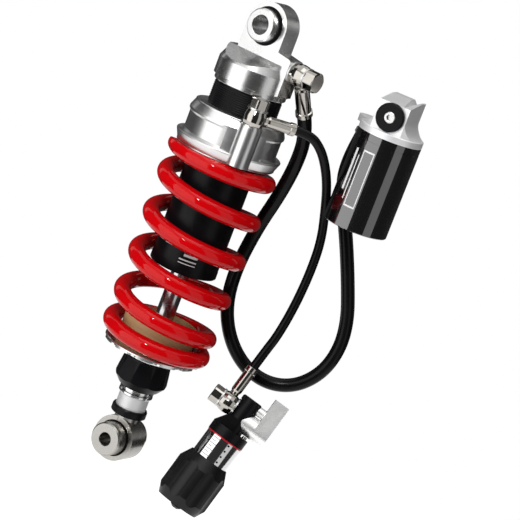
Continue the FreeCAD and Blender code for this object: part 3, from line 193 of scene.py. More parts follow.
# ---------------------------------------------------------------- node groups
def sockets(group, inputs, outputs):
    """Named sockets of a node group, with the defaults of its inputs."""
    for label, kind, value in inputs:
        socket = group.interface.new_socket(name=label, in_out="INPUT", socket_type=kind)
        if value is not None:
            socket.default_value = value
    for label in outputs:
        group.interface.new_socket(name=label, in_out="OUTPUT", socket_type="NodeSocketFloat")


def started(name, inputs, outputs):
    """A new shader group with its input and output nodes."""
    group = bpy.data.node_groups.new(name, "ShaderNodeTree")
    sockets(group, inputs, outputs)
    return group, group.nodes.new("NodeGroupInput"), group.nodes.new("NodeGroupOutput")


def lathe_group():
    """Fine rings that a lathe leaves round Z, on turned sides and on faces alike."""
    name = "Lathe marks"
    if name in bpy.data.node_groups:
        return bpy.data.node_groups[name]
    group, given, made = started(
        name, (("Vector", "NodeSocketVector", None), ("Scale", "NodeSocketFloat", 900.0)),
        ("Height", "Tone"))
    link = group.links.new
    parts = group.nodes.new("ShaderNodeSeparateXYZ")
    flat = group.nodes.new("ShaderNodeCombineXYZ")
    reach = group.nodes.new("ShaderNodeVectorMath")
    reach.operation = "LENGTH"
    rings = group.nodes.new("ShaderNodeCombineXYZ")
    link(given.outputs["Vector"], parts.inputs[0])
    link(parts.outputs["X"], flat.inputs["X"])
    link(parts.outputs["Y"], flat.inputs["Y"])
    link(flat.outputs[0], reach.inputs[0])
    link(reach.outputs["Value"], rings.inputs["X"])
    link(parts.outputs["Z"], rings.inputs["Z"])
    fine = group.nodes.new("ShaderNodeTexNoise")
    fine.inputs["Detail"].default_value = 3
    broad = group.nodes.new("ShaderNodeTexNoise")
    broad.inputs["Scale"].default_value = 160
    broad.inputs["Detail"].default_value = 2
    link(rings.outputs[0], fine.inputs["Vector"])
    link(given.outputs["Scale"], fine.inputs["Scale"])
    link(rings.outputs[0], broad.inputs["Vector"])
    link(fine.outputs["Fac"], made.inputs["Height"])
    link(broad.outputs["Fac"], made.inputs["Tone"])
    return group


def grain_group():
    """Even fine grain, as on blasted, coated or moulded surfaces."""
    name = "Fine grain"
    if name in bpy.data.node_groups:
        return bpy.data.node_groups[name]
    group, given, made = started(
        name, (("Vector", "NodeSocketVector", None), ("Scale", "NodeSocketFloat", 1800.0)),
        ("Height", "Tone"))
    link = group.links.new
    fine = group.nodes.new("ShaderNodeTexNoise")
    fine.inputs["Detail"].default_value = 4
    broad = group.nodes.new("ShaderNodeTexNoise")
    broad.inputs["Scale"].default_value = 55
    broad.inputs["Detail"].default_value = 3
    link(given.outputs["Vector"], fine.inputs["Vector"])
    link(given.outputs["Scale"], fine.inputs["Scale"])
    link(given.outputs["Vector"], broad.inputs["Vector"])
    link(fine.outputs["Fac"], made.inputs["Height"])
    link(broad.outputs["Fac"], made.inputs["Tone"])
    return group


def handling_group():
    """Faint smears and specks that handling leaves, from 0 to 1."""
    name = "Handling"
    if name in bpy.data.node_groups:
        return bpy.data.node_groups[name]
    group, given, made = started(
        name, (("Vector", "NodeSocketVector", None), ("Scale", "NodeSocketFloat", 45.0)),
        ("Smear",))
    link = group.links.new
    cloud = group.nodes.new("ShaderNodeTexNoise")
    cloud.inputs["Detail"].default_value = 6
    cloud.inputs["Distortion"].default_value = 0.8
    spread = group.nodes.new("ShaderNodeMapRange")
    spread.inputs["From Min"].default_value = 0.42
    spread.inputs["From Max"].default_value = 0.72
    link(given.outputs["Vector"], cloud.inputs["Vector"])
    link(given.outputs["Scale"], cloud.inputs["Scale"])
    link(cloud.outputs["Fac"], spread.inputs["Value"])
    link(spread.outputs["Result"], made.inputs["Smear"])
    return group


def highlight_edge_group():
    """How strongly an edge gets a painted highlight, from 0 on plain faces to Amount on sharp
    edges.
    """
    name = "Rubbed edges"
    if name in bpy.data.node_groups:
        return bpy.data.node_groups[name]
    group, given, made = started(name, (("Amount", "NodeSocketFloat", 0.5),), ("Edge",))
    link = group.links.new
    # this Bevel normal only finds the edges that get the painted highlight
    rounded = group.nodes.new("ShaderNodeBevel")
    rounded.samples = 4
    rounded.inputs["Radius"].default_value = bpy.context.scene.shock_sizes.edge
    plain = group.nodes.new("ShaderNodeNewGeometry")
    likeness = group.nodes.new("ShaderNodeVectorMath")
    likeness.operation = "DOT_PRODUCT"
    spread = group.nodes.new("ShaderNodeMapRange")
    spread.inputs["From Min"].default_value = 0.98
    spread.inputs["From Max"].default_value = 0.8
    link(rounded.outputs["Normal"], likeness.inputs[0])
    link(plain.outputs["Normal"], likeness.inputs[1])
    link(likeness.outputs["Value"], spread.inputs["Value"])
    link(given.outputs["Amount"], spread.inputs["To Max"])
    link(spread.outputs["Result"], made.inputs["Edge"])
    return group


# ---------------------------------------------------------------- finishes
def ranged(tree, source, low, high):
    """A value from 0 to 1 spread between low and high."""
    node = tree.nodes.new("ShaderNodeMapRange")
    node.inputs["To Min"].default_value = low
    node.inputs["To Max"].default_value = high
    tree.links.new(source, node.inputs["Value"])
    return node.outputs["Result"]


def finish(name, colour, metallic, rough, marks, scale, bump=0.1, tone=0.06, smear=0.08,
           place=None, coat=0.0, coat_rough=0.03, specular=0.5, coat_ior=1.5, edge_highlight=0.0):
    """A procedural finish: marks, uneven gloss, a fine relief and edges painted lighter as a
    highlight.
    """
    if name in bpy.data.materials:
        return bpy.data.materials[name]
    material = bpy.data.materials.new(name)
    material.use_nodes = True
    tree = material.node_tree
    link = tree.links.new
    shader = tree.nodes["Principled BSDF"]
    shader.inputs["Metallic"].default_value = metallic
    shader.inputs["Specular IOR Level"].default_value = specular
    shader.inputs["Coat Weight"].default_value = coat
    shader.inputs["Coat Roughness"].default_value = coat_rough
    shader.inputs["Coat IOR"].default_value = coat_ior
    where = tree.nodes.new("ShaderNodeTexCoord")
    vector = where.outputs["Object"]
    if place is not None:
        mapping = tree.nodes.new("ShaderNodeMapping")
        mapping.vector_type = "TEXTURE"
        mapping.inputs["Location"].default_value = place.translation * MM
        mapping.inputs["Rotation"].default_value = place.to_euler()
        link(vector, mapping.inputs["Vector"])
        vector = mapping.outputs["Vector"]
    pattern = tree.nodes.new("ShaderNodeGroup")
    pattern.node_tree = lathe_group() if marks == "lathe" else grain_group()
    pattern.inputs["Scale"].default_value = scale
    link(vector, pattern.inputs["Vector"])
    handled = tree.nodes.new("ShaderNodeGroup")
    handled.node_tree = handling_group()
    link(vector, handled.inputs["Vector"])
    shade = tree.nodes.new("ShaderNodeMix")
    shade.data_type = "RGBA"
    shade.inputs["A"].default_value = (*[c * (1 - tone) for c in colour], 1)
    shade.inputs["B"].default_value = (*[min(1, c * (1 + tone)) for c in colour], 1)
    link(pattern.outputs["Tone"], shade.inputs["Factor"])
    # painted highlight: the Bevel node finds sharp edges, and the base colour is made lighter
    # there
    if edge_highlight:
        highlight_mask = tree.nodes.new("ShaderNodeGroup")
        highlight_mask.node_tree = highlight_edge_group()
        highlight_mask.inputs["Amount"].default_value = edge_highlight
        highlight_mix = tree.nodes.new("ShaderNodeMix")
        highlight_mix.data_type = "RGBA"
        highlight_mix.inputs["B"].default_value = (*[min(1, c * 1.3 + 0.02) for c in colour], 1)
        link(highlight_mask.outputs["Edge"], highlight_mix.inputs["Factor"])
        link(shade.outputs["Result"], highlight_mix.inputs["A"])
        link(highlight_mix.outputs["Result"], shader.inputs["Base Color"])
    else:
        link(shade.outputs["Result"], shader.inputs["Base Color"])
    link(ranged(tree, handled.outputs["Smear"], rough, rough + smear),
         shader.inputs["Roughness"])
    relief = tree.nodes.new("ShaderNodeBump")
    relief.inputs["Strength"].default_value = bump
    relief.inputs["Distance"].default_value = 0.05 * MM
    link(pattern.outputs["Height"], relief.inputs["Height"])
    link(relief.outputs["Normal"], shader.inputs["Normal"])
    return material


def aluminium(name, place=None, rough=0.2, marks="lathe", pale=1.0):
    """Bare aluminium, turned or milled, with edges painted lighter as a highlight."""
    colour = [c * pale for c in bpy.context.scene.shock_colours.aluminium]
    return finish(name, colour, 1.0, rough, marks, 1100, bump=0.12, tone=0.05, smear=0.07,
                  place=place, edge_highlight=0.7)


def blasted(name, place=None, level=0.62):
    """Bead-blasted aluminium: pale, matt and even from every side, with edges painted lighter
    as a highlight.
    """
    return finish(name, (level, level, level * 1.01), 0.6, 0.45, "grain", 2200, bump=0.06,
                  tone=0.04, smear=0.08, place=place, specular=0.4, edge_highlight=0.5)


def nickel():
    """Bright plating of the unions."""
    colour = bpy.context.scene.shock_colours.nickel
    return finish("Polished nickel", colour, 1.0, 0.09, "grain", 900, bump=0.05, smear=0.08)


def steel(name="Ground steel", place=None, rough=0.24):
    """Turned steel without a coating."""
    colour = bpy.context.scene.shock_colours.steel
    return finish(name, colour, 1.0, rough, "lathe", 1500, bump=0.2, tone=0.08, place=place)


def spring_steel():
    """Dark steel of circlips and shims."""
    colour = [c * 0.4 for c in bpy.context.scene.shock_colours.steel]
    return finish("Phosphated steel", colour, 1.0, 0.35, "grain", 1500, bump=0.2)


def chrome():
    """Hard chrome of the damper rod."""
    return finish("Hard chrome", (0.5, 0.5, 0.51), 1.0, 0.2, "lathe", 2000, bump=0.05,
                  tone=0.04, smear=0.06)


def gloss_black(name, place=None):
    """Black under a clear, mirror-like coat."""
    colour = bpy.context.scene.shock_colours.black
    return finish(name, colour, 0.0, 0.3, "grain", 700, bump=0.02, tone=0.2, smear=0.05,
                  place=place, coat=1.0, coat_rough=0.02, specular=0.1, coat_ior=2.1)


def satin_black(name="Satin black coating"):
    """Black with a low sheen."""
    colour = [c * 1.6 for c in bpy.context.scene.shock_colours.black]
    return finish(name, colour, 0.0, 0.3, "grain", 1600, bump=0.15, tone=0.15, smear=0.1,
                  specular=0.12)


def rubber(name="Hose rubber", rough=0.2):
    """Black rubber, smoother on hoses than on seals."""
    colour = bpy.context.scene.shock_colours.rubber
    return finish(name, colour, 0.0, rough, "grain", 1300, bump=0.12, tone=0.2, smear=0.12,
                  specular=0.12)


def powder_coat():
    """Glossy red powder coat of the spring."""
    colour = bpy.context.scene.shock_colours.spring
    return finish("Red powder coat", colour, 0.0, 0.05, "grain", 420, bump=0.02, tone=0.04,
                  smear=0.03, specular=0.2)


# ---------------------------------------------------------------- making pieces
def placed(bm, name, material, body, nodes=(), at=DAMPER, corner=32):
    """Turn a bmesh in millimetres into a piece: placed, smoothed and riding on its body."""
    bmesh.ops.transform(bm, matrix=Matrix.Scale(MM, 4) @ at, verts=bm.verts)
    bmesh.ops.recalc_face_normals(bm, faces=bm.faces)
    mesh = bpy.data.meshes.new(name)
    bm.to_mesh(mesh)
    bm.free()
    mesh.materials.append(material)
    # normals copied from a frame mesh don't fit its merged copy
    if "custom_normal" in mesh.attributes:
        mesh.attributes.remove(mesh.attributes["custom_normal"])
    mesh.shade_smooth()
    mesh.set_sharp_from_angle(angle=math.radians(corner))
    piece = bpy.data.objects.new(name, mesh)
    bpy.context.scene.collection.objects.link(piece)
    if body:
        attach(piece, body)
    if nodes:
        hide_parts(*nodes)
    return piece


def bar(bm, radius, low, high, start, end):
    """A thin plate round Z between two levels and two directions, just proud of radius."""
    sunk, proud = radius - 0.3, radius + 0.06
    degrees_per_step = 3
    corners = [bm.verts.new(spun("Z", start) @ Vector((reach, 0, level)))
               for reach, level in ((sunk, low), (proud, low), (proud, high), (sunk, high))]
    face = bm.faces.new(corners)
    bmesh.ops.spin(bm, geom=corners + list(face.edges) + [face], cent=(0, 0, 0),
                   axis=(0, 0, 1), angle=math.radians(end - start),
                   steps=max(1, round(abs(end - start) / degrees_per_step)))


def bars(radius, extents):
    """Several bars on one round surface, each given as low, high, start and end."""
    bm = bmesh.new()
    for extent in extents:
        bar(bm, radius, *extent)
    return bm


def dressed(node, material):
    """A CAD node that keeps its shape and gets a finish."""
    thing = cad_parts[node]
    thing.data.materials.clear()
    thing.data.materials.append(material)


# ---------------------------------------------------------------- stage
VIEW_TURN = 33.3
VIEW_HEIGHT = 12.3
VIEW_DISTANCE = 1490
VIEW_ROLL = 21.0
LENS = 143.3
AIM = Vector((41.96, 27.56, -159.7))
FLOOR_RADIUS = 0.9
DRUM_RADIUS = 2.3
DRUM_HEIGHT = 4.0
# name, turn, height, distance in millimetres, width and height in metres, glow
SOFTBOXES = (
    ("Left softbox", -48, 4, 1500, 1.45, 2.1, 2.0),
    ("Right softbox", 48, 4, 1500, 0.8, 2.1, 0.8),
    ("Spark", -14, 36, 1500, 0.09, 0.22, 120),
    ("Top softbox", 0, 78, 1400, 1.0, 1.0, 1.6),
    ("Back left", -128, 20, 1500, 0.25, 1.2, 0.7),
    ("Back right", 120, 20, 1500, 0.25, 1.2, 0.7),
)


def around(turn, height, distance):
    """A point round the object: turn from the camera's side, height above the horizon."""
    azimuth = math.radians(VIEW_TURN + turn)
    elevation = math.radians(height)
    flat = math.cos(elevation)
    back = Vector((math.sin(azimuth) * flat, -math.cos(azimuth) * flat, math.sin(elevation)))
    return (AIM + back * distance) * MM


def looking(position, target, roll=0.0):
    """A matrix at position whose -Z points at target."""
    away = (position - target).normalized()
    right = Vector((0, 0, 1)).cross(away).normalized()
    turned_to = Matrix((right, away.cross(right), away)).transposed().to_4x4()
    return Matrix.Translation(position) @ turned_to @ spun("Z", roll)


def softbox(name, turn, height, distance, width, tall, glow):
    """An area lamp that faces the object, as bright as glow all over."""
    lamp = bpy.data.lights.new(name, "AREA")
    lamp.shape = "RECTANGLE"
    lamp.size = width
    lamp.size_y = tall
    lamp.energy = glow * math.pi * width * tall * bpy.context.scene.shock_studio.lamps
    thing = bpy.data.objects.new(name, lamp)
    thing.visible_camera = False
    thing.matrix_world = looking(around(turn, height, distance), AIM * MM)
    bpy.context.scene.collection.objects.link(thing)


class SHOCK_OT_stage(bpy.types.Operator):
    """Camera, floor, backdrop and soft lamps."""
    bl_idname = "shock.stage"
    bl_label = "Stage"

    def execute(self, context):
        scene = context.scene
        camera = bpy.data.cameras.new("Camera")
        camera.lens = LENS
        camera.sensor_width = 36
        thing = bpy.data.objects.new("Camera", camera)
        eye = around(0, VIEW_HEIGHT, VIEW_DISTANCE)
        thing.matrix_world = looking(eye, AIM * MM, VIEW_ROLL)
        scene.collection.objects.link(thing)
        scene.camera = thing
        scene.view_settings.view_transform = "Standard"
        self.floor(scene)
        self.world(scene)
        for values in SOFTBOXES:
            softbox(*values)
        self.flags(scene)
        return {"FINISHED"}

    def floor(self, scene):
        """A round sheet of paper under the object."""
        bm = bmesh.new()
        bmesh.ops.create_circle(bm, cap_ends=True, segments=96, radius=FLOOR_RADIUS)
        bmesh.ops.translate(bm, vec=(0, 0, scene.shock_studio.floor), verts=bm.verts)
        mesh = bpy.data.meshes.new("Floor")
        bm.to_mesh(mesh)
        bm.free()
        floor = bpy.data.objects.new("Floor", mesh)
        scene.collection.objects.link(floor)
        mesh.materials.append(self.paper())

    def flags(self, scene):
        """Dark flags all round, which only mirrors and gloss show."""
        bm = bmesh.new()
        bmesh.ops.create_cone(bm, cap_ends=False, segments=64, radius1=DRUM_RADIUS,
                              radius2=DRUM_RADIUS, depth=DRUM_HEIGHT)
        bmesh.ops.reverse_faces(bm, faces=bm.faces)
        mesh = bpy.data.meshes.new("Flags")
        bm.to_mesh(mesh)
        bm.free()
        flags = bpy.data.objects.new("Flags", mesh)
        scene.collection.objects.link(flags)
        material = bpy.data.materials.new("Flag cloth")
        material.use_nodes = True
        shader = material.node_tree.nodes["Principled BSDF"]
        shader.inputs["Base Color"].default_value = (0, 0, 0, 1)
        shader.inputs["Specular IOR Level"].default_value = 0
        shader.inputs["Emission Color"].default_value = (1, 1, 1, 1)
        shader.inputs["Emission Strength"].default_value = scene.shock_studio.surround
        mesh.materials.append(material)
        for kind in ("camera", "diffuse", "shadow", "transmission", "volume_scatter"):
            setattr(flags, "visible_" + kind, False)

    def unlit(self, tree):
        """1 for the rays that see the background: camera, glossy and transmission."""
        path = tree.nodes.new("ShaderNodeLightPath")
        total = path.outputs["Is Camera Ray"]
        for kind in ("Is Glossy Ray", "Is Transmission Ray"):
            either = tree.nodes.new("ShaderNodeMath")
            either.operation = "MAXIMUM"
            tree.links.new(total, either.inputs[0])
            tree.links.new(path.outputs[kind], either.inputs[1])
            total = either.outputs[0]
        return total

    def paper(self):
        """Pale paper that shows white and keeps a shadow."""
        material = bpy.data.materials.new("Paper")
        material.use_nodes = True
        tree = material.node_tree
        shader = tree.nodes["Principled BSDF"]
        shader.inputs["Base Color"].default_value = (0.8, 0.8, 0.8, 1)
        shader.inputs["Roughness"].default_value = 1.0
        shader.inputs["Specular IOR Level"].default_value = 0.0
        shader.inputs["Emission Color"].default_value = (1, 1, 1, 1)
        strength = tree.nodes.new("ShaderNodeMath")
        strength.operation = "MULTIPLY"
        strength.inputs[1].default_value = bpy.context.scene.shock_studio.paper
        tree.links.new(self.unlit(tree), strength.inputs[0])
        tree.links.new(strength.outputs[0], shader.inputs["Emission Strength"])
        return material

    def world(self, scene):
        """A white background, and an even fill that lights the object."""
        world = bpy.data.worlds.new("Studio")
        world.use_nodes = True
        scene.world = world
        tree = world.node_tree
        link = tree.links.new
        shown = tree.nodes["Background"]
        shown.inputs["Color"].default_value = (1, 1, 1, 1)
        fill = tree.nodes.new("ShaderNodeBackground")
        fill.inputs["Strength"].default_value = scene.shock_studio.fill
        mix = tree.nodes.new("ShaderNodeMixShader")
        link(self.unlit(tree), mix.inputs["Fac"])
        link(fill.outputs[0], mix.inputs[1])
        link(shown.outputs[0], mix.inputs[2])
        link(mix.outputs[0], tree.nodes["World Output"].inputs["Surface"])


# ---------------------------------------------------------------- hoses
def union_end(union, length, height):
    """Where a hose leaves a union's ferrule, and the way it points there."""
    middle = WASHER + height / 2
    return union @ Vector((length, 0, middle)), union.to_3x3() @ Vector((1, 0, 0))


def hose(name, points, diameter, node):
    """A hose as one smooth NURBS curve through its route."""
    curve = bpy.data.curves.new(name, "CURVE")
    curve.dimensions = "3D"
    curve.bevel_depth = diameter / 2
    curve.bevel_resolution = 6
    curve.resolution_u = 14
    spline = curve.splines.new("NURBS")
    spline.points.add(len(points) - 1)
    for point, place in zip(spline.points, points):
        point.co = (*(place * MM), 1)
    spline.order_u = 3
    spline.use_endpoint_u = True
    curve.materials.append(rubber())
    piece = bpy.data.objects.new(name, curve)
    bpy.context.scene.collection.objects.link(piece)
    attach(piece, "damper")
    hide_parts(node)


class SHOCK_OT_hoses(bpy.types.Operator):
    """The oil hose to the reservoir and the hose to the remote adjuster."""
    bl_idname = "shock.hoses"
    bl_label = "Hoses"

    def execute(self, context):
        sizes = context.scene.shock_sizes
        start, out = union_end(HEAD_UNION, *OIL_FITTING)
        end = PORT @ Vector((0, 0, -9.7))
        into = PORT.to_3x3() @ Vector((0, 0, 1))
        route = [start, start + out * 17, *map(Vector, RESERVOIR_ROUTE), end - into * 24, end]
        hose("oil_hose", route, sizes.oil_hose, "reservoir_hose")
        start, out = union_end(COLLAR_UNION, *PRELOAD_FITTING)
        end, back = union_end(ADJUSTER_UNION, *PRELOAD_FITTING)
        route = [start, start + out * 13, *map(Vector, PRELOAD_ROUTE), end + back * 16, end]
        hose("preload_line", route, sizes.preload_hose, "preload_hose")
        return {"FINISHED"}


# ---------------------------------------------------------------- spring
def pitch_at(turns):
    """Pitch of the coil so many turns above its foot, eased between its runs."""
    ease = 0.14
    low = COIL_RUNS[0][0]
    high = low + COIL_RUNS[1][0]
    closed, opened = COIL_RUNS[0][1], COIL_RUNS[1][1]
    rise = max(0.0, min(1.0, (turns - low + ease) / (2 * ease)))
    fall = max(0.0, min(1.0, (turns - high + ease) / (2 * ease)))
    smooth = rise * rise * (3 - 2 * rise) - fall * fall * (3 - 2 * fall)
    return closed + (opened - closed) * smooth


def coil(sizes):
    """The whole wire, ground flat at both ends."""
    sides = 36
    steps_per_turn = 80
    bm = bmesh.new()
    made = bmesh.ops.create_circle(bm, cap_ends=False, segments=sides,
                                   radius=sizes.wire / 2 / MM)
    ring = made["verts"]
    foot = (spun("Z", COIL_FOOT_ANGLE)
            @ Matrix.Translation((sizes.coil / 2 / MM, 0, COIL_FOOT_LEVEL)) @ spun("X", 90))
    bmesh.ops.transform(bm, matrix=foot, verts=ring)
    bmesh.ops.edgeloop_fill(bm, edges=bm.edges)
    geometry = ring + list(bm.edges)
    total = sum(turns for turns, pitch in COIL_RUNS)
    steps = round(total * steps_per_turn)
    for step in range(steps):
        middle = (step + 0.5) * total / steps
        rise = pitch_at(middle) * total / steps
        swept = bmesh.ops.spin(
            bm, geom=geometry, cent=(0, 0, 0), axis=(0, 0, 1), dvec=(0, 0, rise),
            angle=-math.tau * total / steps, steps=1)
        geometry = [g for g in swept["geom_last"]
                    if isinstance(g, (bmesh.types.BMVert, bmesh.types.BMEdge))]
    last = [g for g in geometry if isinstance(g, bmesh.types.BMEdge)]
    bmesh.ops.edgeloop_fill(bm, edges=last)
    cut(bm, COIL_TOP, keep_above=False)
    cut(bm, COIL_BOTTOM, keep_above=True)
    return bm


def cut(bm, level, keep_above):
    """Cut the bmesh off at a level and close it there."""
    everything = list(bm.verts) + list(bm.edges) + list(bm.faces)
    made = bmesh.ops.bisect_plane(
        bm, geom=everything, dist=0.0001, plane_co=(0, 0, level), plane_no=(0, 0, 1),
        clear_inner=keep_above, clear_outer=not keep_above)
    rim = [g for g in made["geom_cut"] if isinstance(g, bmesh.types.BMEdge)]
    bmesh.ops.holes_fill(bm, edges=[edge for edge in rim if edge.is_valid], sides=0)


class SHOCK_OT_spring(bpy.types.Operator):
    """The red coil spring, in two pieces that meet at one level."""
    bl_idname = "shock.spring"
    bl_label = "Spring"

    def execute(self, context):
        whole = coil(context.scene.shock_sizes)
        upper = whole.copy()
        cut(upper, COIL_SPLIT, keep_above=True)
        cut(whole, COIL_SPLIT, keep_above=False)
        coat = powder_coat()
        top = placed(upper, "spring_upper_coils", coat, None, ("coil_spring",))
        low = placed(whole, "spring_lower_coils", coat, "damper", ())
        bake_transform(top)
        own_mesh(low)
        return {"FINISHED"}


# ---------------------------------------------------------------- damper
class SHOCK_OT_damper(bpy.types.Operator):
    """Head, threaded tube, collar and the upper bearing."""
    bl_idname = "shock.damper"
    bl_label = "Damper"

    def execute(self, context):
        milled("top_mount", aluminium("Milled head", rough=0.24, marks="grain"))
        dressed("preload_cylinder", aluminium("Turned collar", rough=0.3))
        black = satin_black("Black tube coating")
        dressed("damper_tube", black)
        dressed("tube_end_cap", black)
        self.thread(context.scene.shock_sizes.thread / MM)
        self.label(context.scene.shock_colours)
        bearing("upper", UPPER_EYE)
        return {"FINISHED"}

    def label(self, colours):
        """A plain label low on the tube: a red bar between pale ones."""
        red = bars(TUBE_RADIUS, ((-164.5, -160.5, -96, -52),))
        placed(red, "label_red_bar", finish("Red ink", colours.red, 0.0, 0.35, "grain", 900),
               "damper", ())
        pale = bars(TUBE_RADIUS, (
            (-158.6, -157.9, -100, -40), (-167.6, -166.9, -100, -40),
            (-171.5, -169.7, -60, -36), (-174.6, -173.6, -66, -36), (-177, -176.4, -66, -36)))
        ink = finish("Label ink", (0.6, 0.6, 0.6), 0.0, 0.35, "grain", 900)
        placed(pale, "label_pale_bars", ink, "damper", ())

    def thread(self, pitch):
        """The thread that shows between the head and the collar."""
        root, crest, top, bottom = 24.8, 25.45, -46.9, -64.3
        steps_per_turn = 72
        bm = bmesh.new()
        tooth = [bm.verts.new((radius, 0, bottom + level * pitch))
                 for radius, level in ((root, 0.0), (crest, 0.45), (crest, 0.55), (root, 1.0))]
        edges = [bm.edges.new(pair) for pair in zip(tooth, tooth[1:])]
        turns = int((top - bottom) / pitch) - 1
        bmesh.ops.spin(bm, geom=tooth + edges, cent=(0, 0, 0), axis=(0, 0, 1),
                       dvec=(0, 0, pitch / steps_per_turn), angle=math.tau * turns,
                       steps=steps_per_turn * turns)
        bmesh.ops.remove_doubles(bm, verts=bm.verts, dist=0.001)
        placed(bm, "tube_thread", satin_black("Black thread"), "damper", (),
               corner=60)


def milled(node, material):
    """A merged copy of a milled node, with its flat faces told apart by their corners."""
    bm = bmesh.new()
    bm.from_mesh(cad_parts[node].data)
    bmesh.ops.scale(bm, vec=(1 / MM,) * 3, verts=bm.verts)
    bmesh.ops.remove_doubles(bm, verts=bm.verts, dist=0.002)
    placed(bm, f"{node}_surface", material, "damper", (node,),
           corner=14)


def bearing(end, place):
    """Finishes of one eye's spherical bearing."""
    lathe = steel(f"{end.title()} spacer steel", place)
    dressed(f"{end}_ball", lathe)
    dressed(f"{end}_bearing_race", lathe)
    dressed(f"{end}_circlips", spring_steel())
    dressed(f"{end}_seals", rubber("Seal rubber", 0.5))
    dressed(f"{end}_spacers",
            lathe if end == "lower" else aluminium("Spacer aluminium", place, 0.24))


class SHOCK_OT_unions(bpy.types.Operator):
    """Banjo unions of both hoses, and the fitting at the reservoir."""
    bl_idname = "shock.unions"
    bl_label = "Unions"

    def execute(self, context):
        bright = nickel()
        for node in ("head_banjo_bolt", "preload_banjo_bolts", "head_banjo_fitting",
                     "preload_banjo_fittings", "reservoir_hose_fitting"):
            dressed(node, bright)
        dressed("head_banjo_washers", aluminium("Washer metal", rough=0.3, marks="grain"))
        dressed("preload_banjo_washers", aluminium("Washer metal"))
        return {"FINISHED"}


class SHOCK_OT_lower_end(bpy.types.Operator):
    """Spring seat, guide, rod, rings, saddle and the lower eye."""
    bl_idname = "shock.lower_end"
    bl_label = "Lower end"

    def execute(self, context):
        colours = context.scene.shock_colours
        dressed("lower_spring_seat", aluminium("Turned seat", rough=0.24))
        dressed("spring_guide", finish("Guide plastic", colours.guide, 0.0, 0.5, "lathe", 700,
                                       bump=0.3, tone=0.1))
        dressed("bump_stop", rubber("Bump rubber", 0.6))
        dressed("damper_rod", chrome())
        dressed("rod_end_rings", aluminium("Polished rings", rough=0.14))
        dressed("rod_end_sleeve", blasted("Blasted sleeve"))
        dressed("rod_saddle_ring", satin_black())
        dressed("lower_eye", steel("Eye steel", LOWER_EYE, 0.26))
        dressed("rebound_knob", satin_black())
        bearing("lower", LOWER_EYE)
        return {"FINISHED"}


class SHOCK_OT_reservoir(bpy.types.Operator):
    """Reservoir with its cap, dial and end cap."""
    bl_idname = "shock.reservoir"
    bl_label = "Reservoir"

    def execute(self, context):
        dressed("reservoir_cap", blasted("Blasted cap", RESERVOIR, 0.84))
        black = gloss_black("Reservoir coating", RESERVOIR)
        dressed("reservoir_tube", black)
        dressed("reservoir_end_cap", black)
        dressed("gas_valve", nickel())
        dressed("compression_dial", satin_black())
        dressed("compression_screw", aluminium("Dial screw", DIAL, 0.25))
        self.trim()
        return {"FINISHED"}

    def trim(self):
        """Two plain pale bars along the barrel and a plain frame beside them."""
        bm = bars(RESERVOIR_RADIUS, (
            (-44, -13, -129, -124), (-50, -17, -119, -117), (-54, -12, -111, -109.4),
            (-54, -12, -91.6, -90), (-13.2, -12, -111, -90), (-54, -52.8, -111, -90)))
        white = finish("White ink", (0.75, 0.75, 0.75), 0.0, 0.4, "grain", 900, tone=0.05)
        placed(bm, "reservoir_bars", white, "damper", (), RESERVOIR)


class SHOCK_OT_adjuster(bpy.types.Operator):
    """Remote preload adjuster with its bracket, barrel and knob."""
    bl_idname = "shock.adjuster"
    bl_label = "Remote adjuster"

    def execute(self, context):
        colours = context.scene.shock_colours
        dressed("adjuster_body", satin_black("Housing coating"))
        dressed("adjuster_red_ring",
                finish("Red anodise", colours.red, 0.3, 0.25, "grain", 900))
        dressed("adjuster_barrel", aluminium("Mirror barrel", ADJUSTER, 0.06))
        dressed("adjuster_bracket",
                aluminium("Satin bracket", rough=0.4, marks="grain", pale=1.35))
        dressed("bracket_screw", nickel())
        matt = finish("Matt black knob", [c * 1.5 for c in colours.black], 0.0, 0.36, "grain",
                      1400, bump=0.2, tone=0.2, specular=0.25)
        dressed("preload_knob", matt)
        dressed("preload_knob_screw", matt)
        self.scale()
        return {"FINISHED"}

    def scale(self):
        """Graduations of the barrel, which show how far the knob has gone."""
        highest, spacing, count = -2.6, 2.4, 7
        line, mark = 0.2, 0.7
        start, long_reach, short_reach = -124, 26, 14
        bm = bmesh.new()
        for step in range(count):
            level = highest - spacing * step
            full_line = step % 2 == 0
            bar(bm, BARREL_RADIUS, level - line, level + line, start,
                start + (long_reach if full_line else short_reach))
            if full_line:
                bar(bm, BARREL_RADIUS, level - mark, level + mark, -134, -130)
                bar(bm, BARREL_RADIUS, level - mark, level + mark, -72, -66)
        placed(bm, "barrel_scale", satin_black("Scale ink"), "damper", (),
               ADJUSTER)


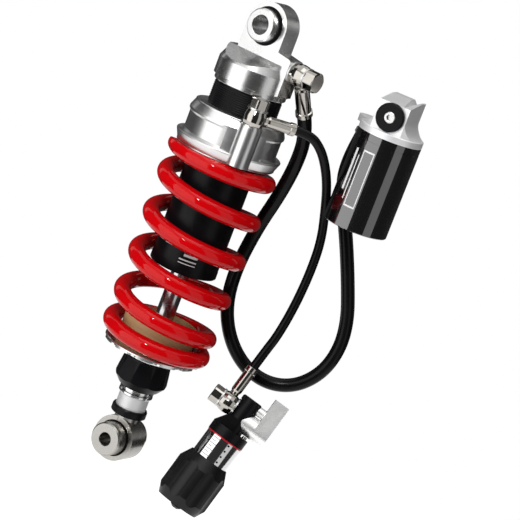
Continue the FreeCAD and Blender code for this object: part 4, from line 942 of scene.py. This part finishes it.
class SHOCK_OT_inner_parts(bpy.types.Operator):
    """Finishes of the pieces inside."""
    bl_idname = "shock.inner_parts"
    bl_label = "Inner parts"

    def execute(self, context):
        plain = aluminium("Inner aluminium", rough=0.3)
        for node in ("seal_head", "preload_piston", "main_piston", "floating_piston",
                     "preload_plunger"):
            dressed(node, plain)
        seal = rubber("Seal rubber", 0.5)
        for node in ("rod_seal", "preload_piston_seals", "plunger_seal"):
            dressed(node, seal)
        band = finish("Slide band", (0.3, 0.2, 0.1), 0.0, 0.5, "grain", 1200)
        dressed("piston_band", band)
        dressed("floating_piston_ring", band)
        dressed("shim_stack", spring_steel())
        dressed("piston_nut", steel())
        dressed("rebound_needle", steel())
        return {"FINISHED"}


STEPS = (
    SHOCK_OT_stage, SHOCK_OT_hoses, SHOCK_OT_spring, SHOCK_OT_damper, SHOCK_OT_unions,
    SHOCK_OT_lower_end, SHOCK_OT_reservoir, SHOCK_OT_adjuster, SHOCK_OT_inner_parts,
)


class SHOCK_PT_panel(bpy.types.Panel):
    """Lists the steps and what can be changed."""
    bl_idname = "SHOCK_PT_panel"
    bl_label = "Rear shock"
    bl_space_type = "VIEW_3D"
    bl_region_type = "UI"
    bl_category = "Shock"

    def draw(self, context):
        for step in STEPS:
            self.layout.operator(step.bl_idname)
        for group in ("shock_sizes", "shock_colours", "shock_studio"):
            values = getattr(context.scene, group)
            for name in values.__annotations__:
                self.layout.prop(values, name)


GROUPS = (("shock_sizes", ShockSizes), ("shock_colours", ShockColours),
          ("shock_studio", ShockStudio))


def register():
    """Make the settings, the steps and the panel known."""
    for name, group in GROUPS:
        bpy.utils.register_class(group)
        setattr(bpy.types.Scene, name, bpy.props.PointerProperty(type=group))
    for item in (*STEPS, SHOCK_PT_panel):
        bpy.utils.register_class(item)


def unregister():
    """Take them away again."""
    for item in reversed((*STEPS, SHOCK_PT_panel)):
        bpy.utils.unregister_class(item)
    for name, group in reversed(GROUPS):
        delattr(bpy.types.Scene, name)
        bpy.utils.unregister_class(group)


def main():
    """Build everything."""
    register()
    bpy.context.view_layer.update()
    for step in STEPS:
        group, name = step.bl_idname.split(".")
        getattr(getattr(bpy.ops, group), name)()


if __name__ == "__main__":
    main()
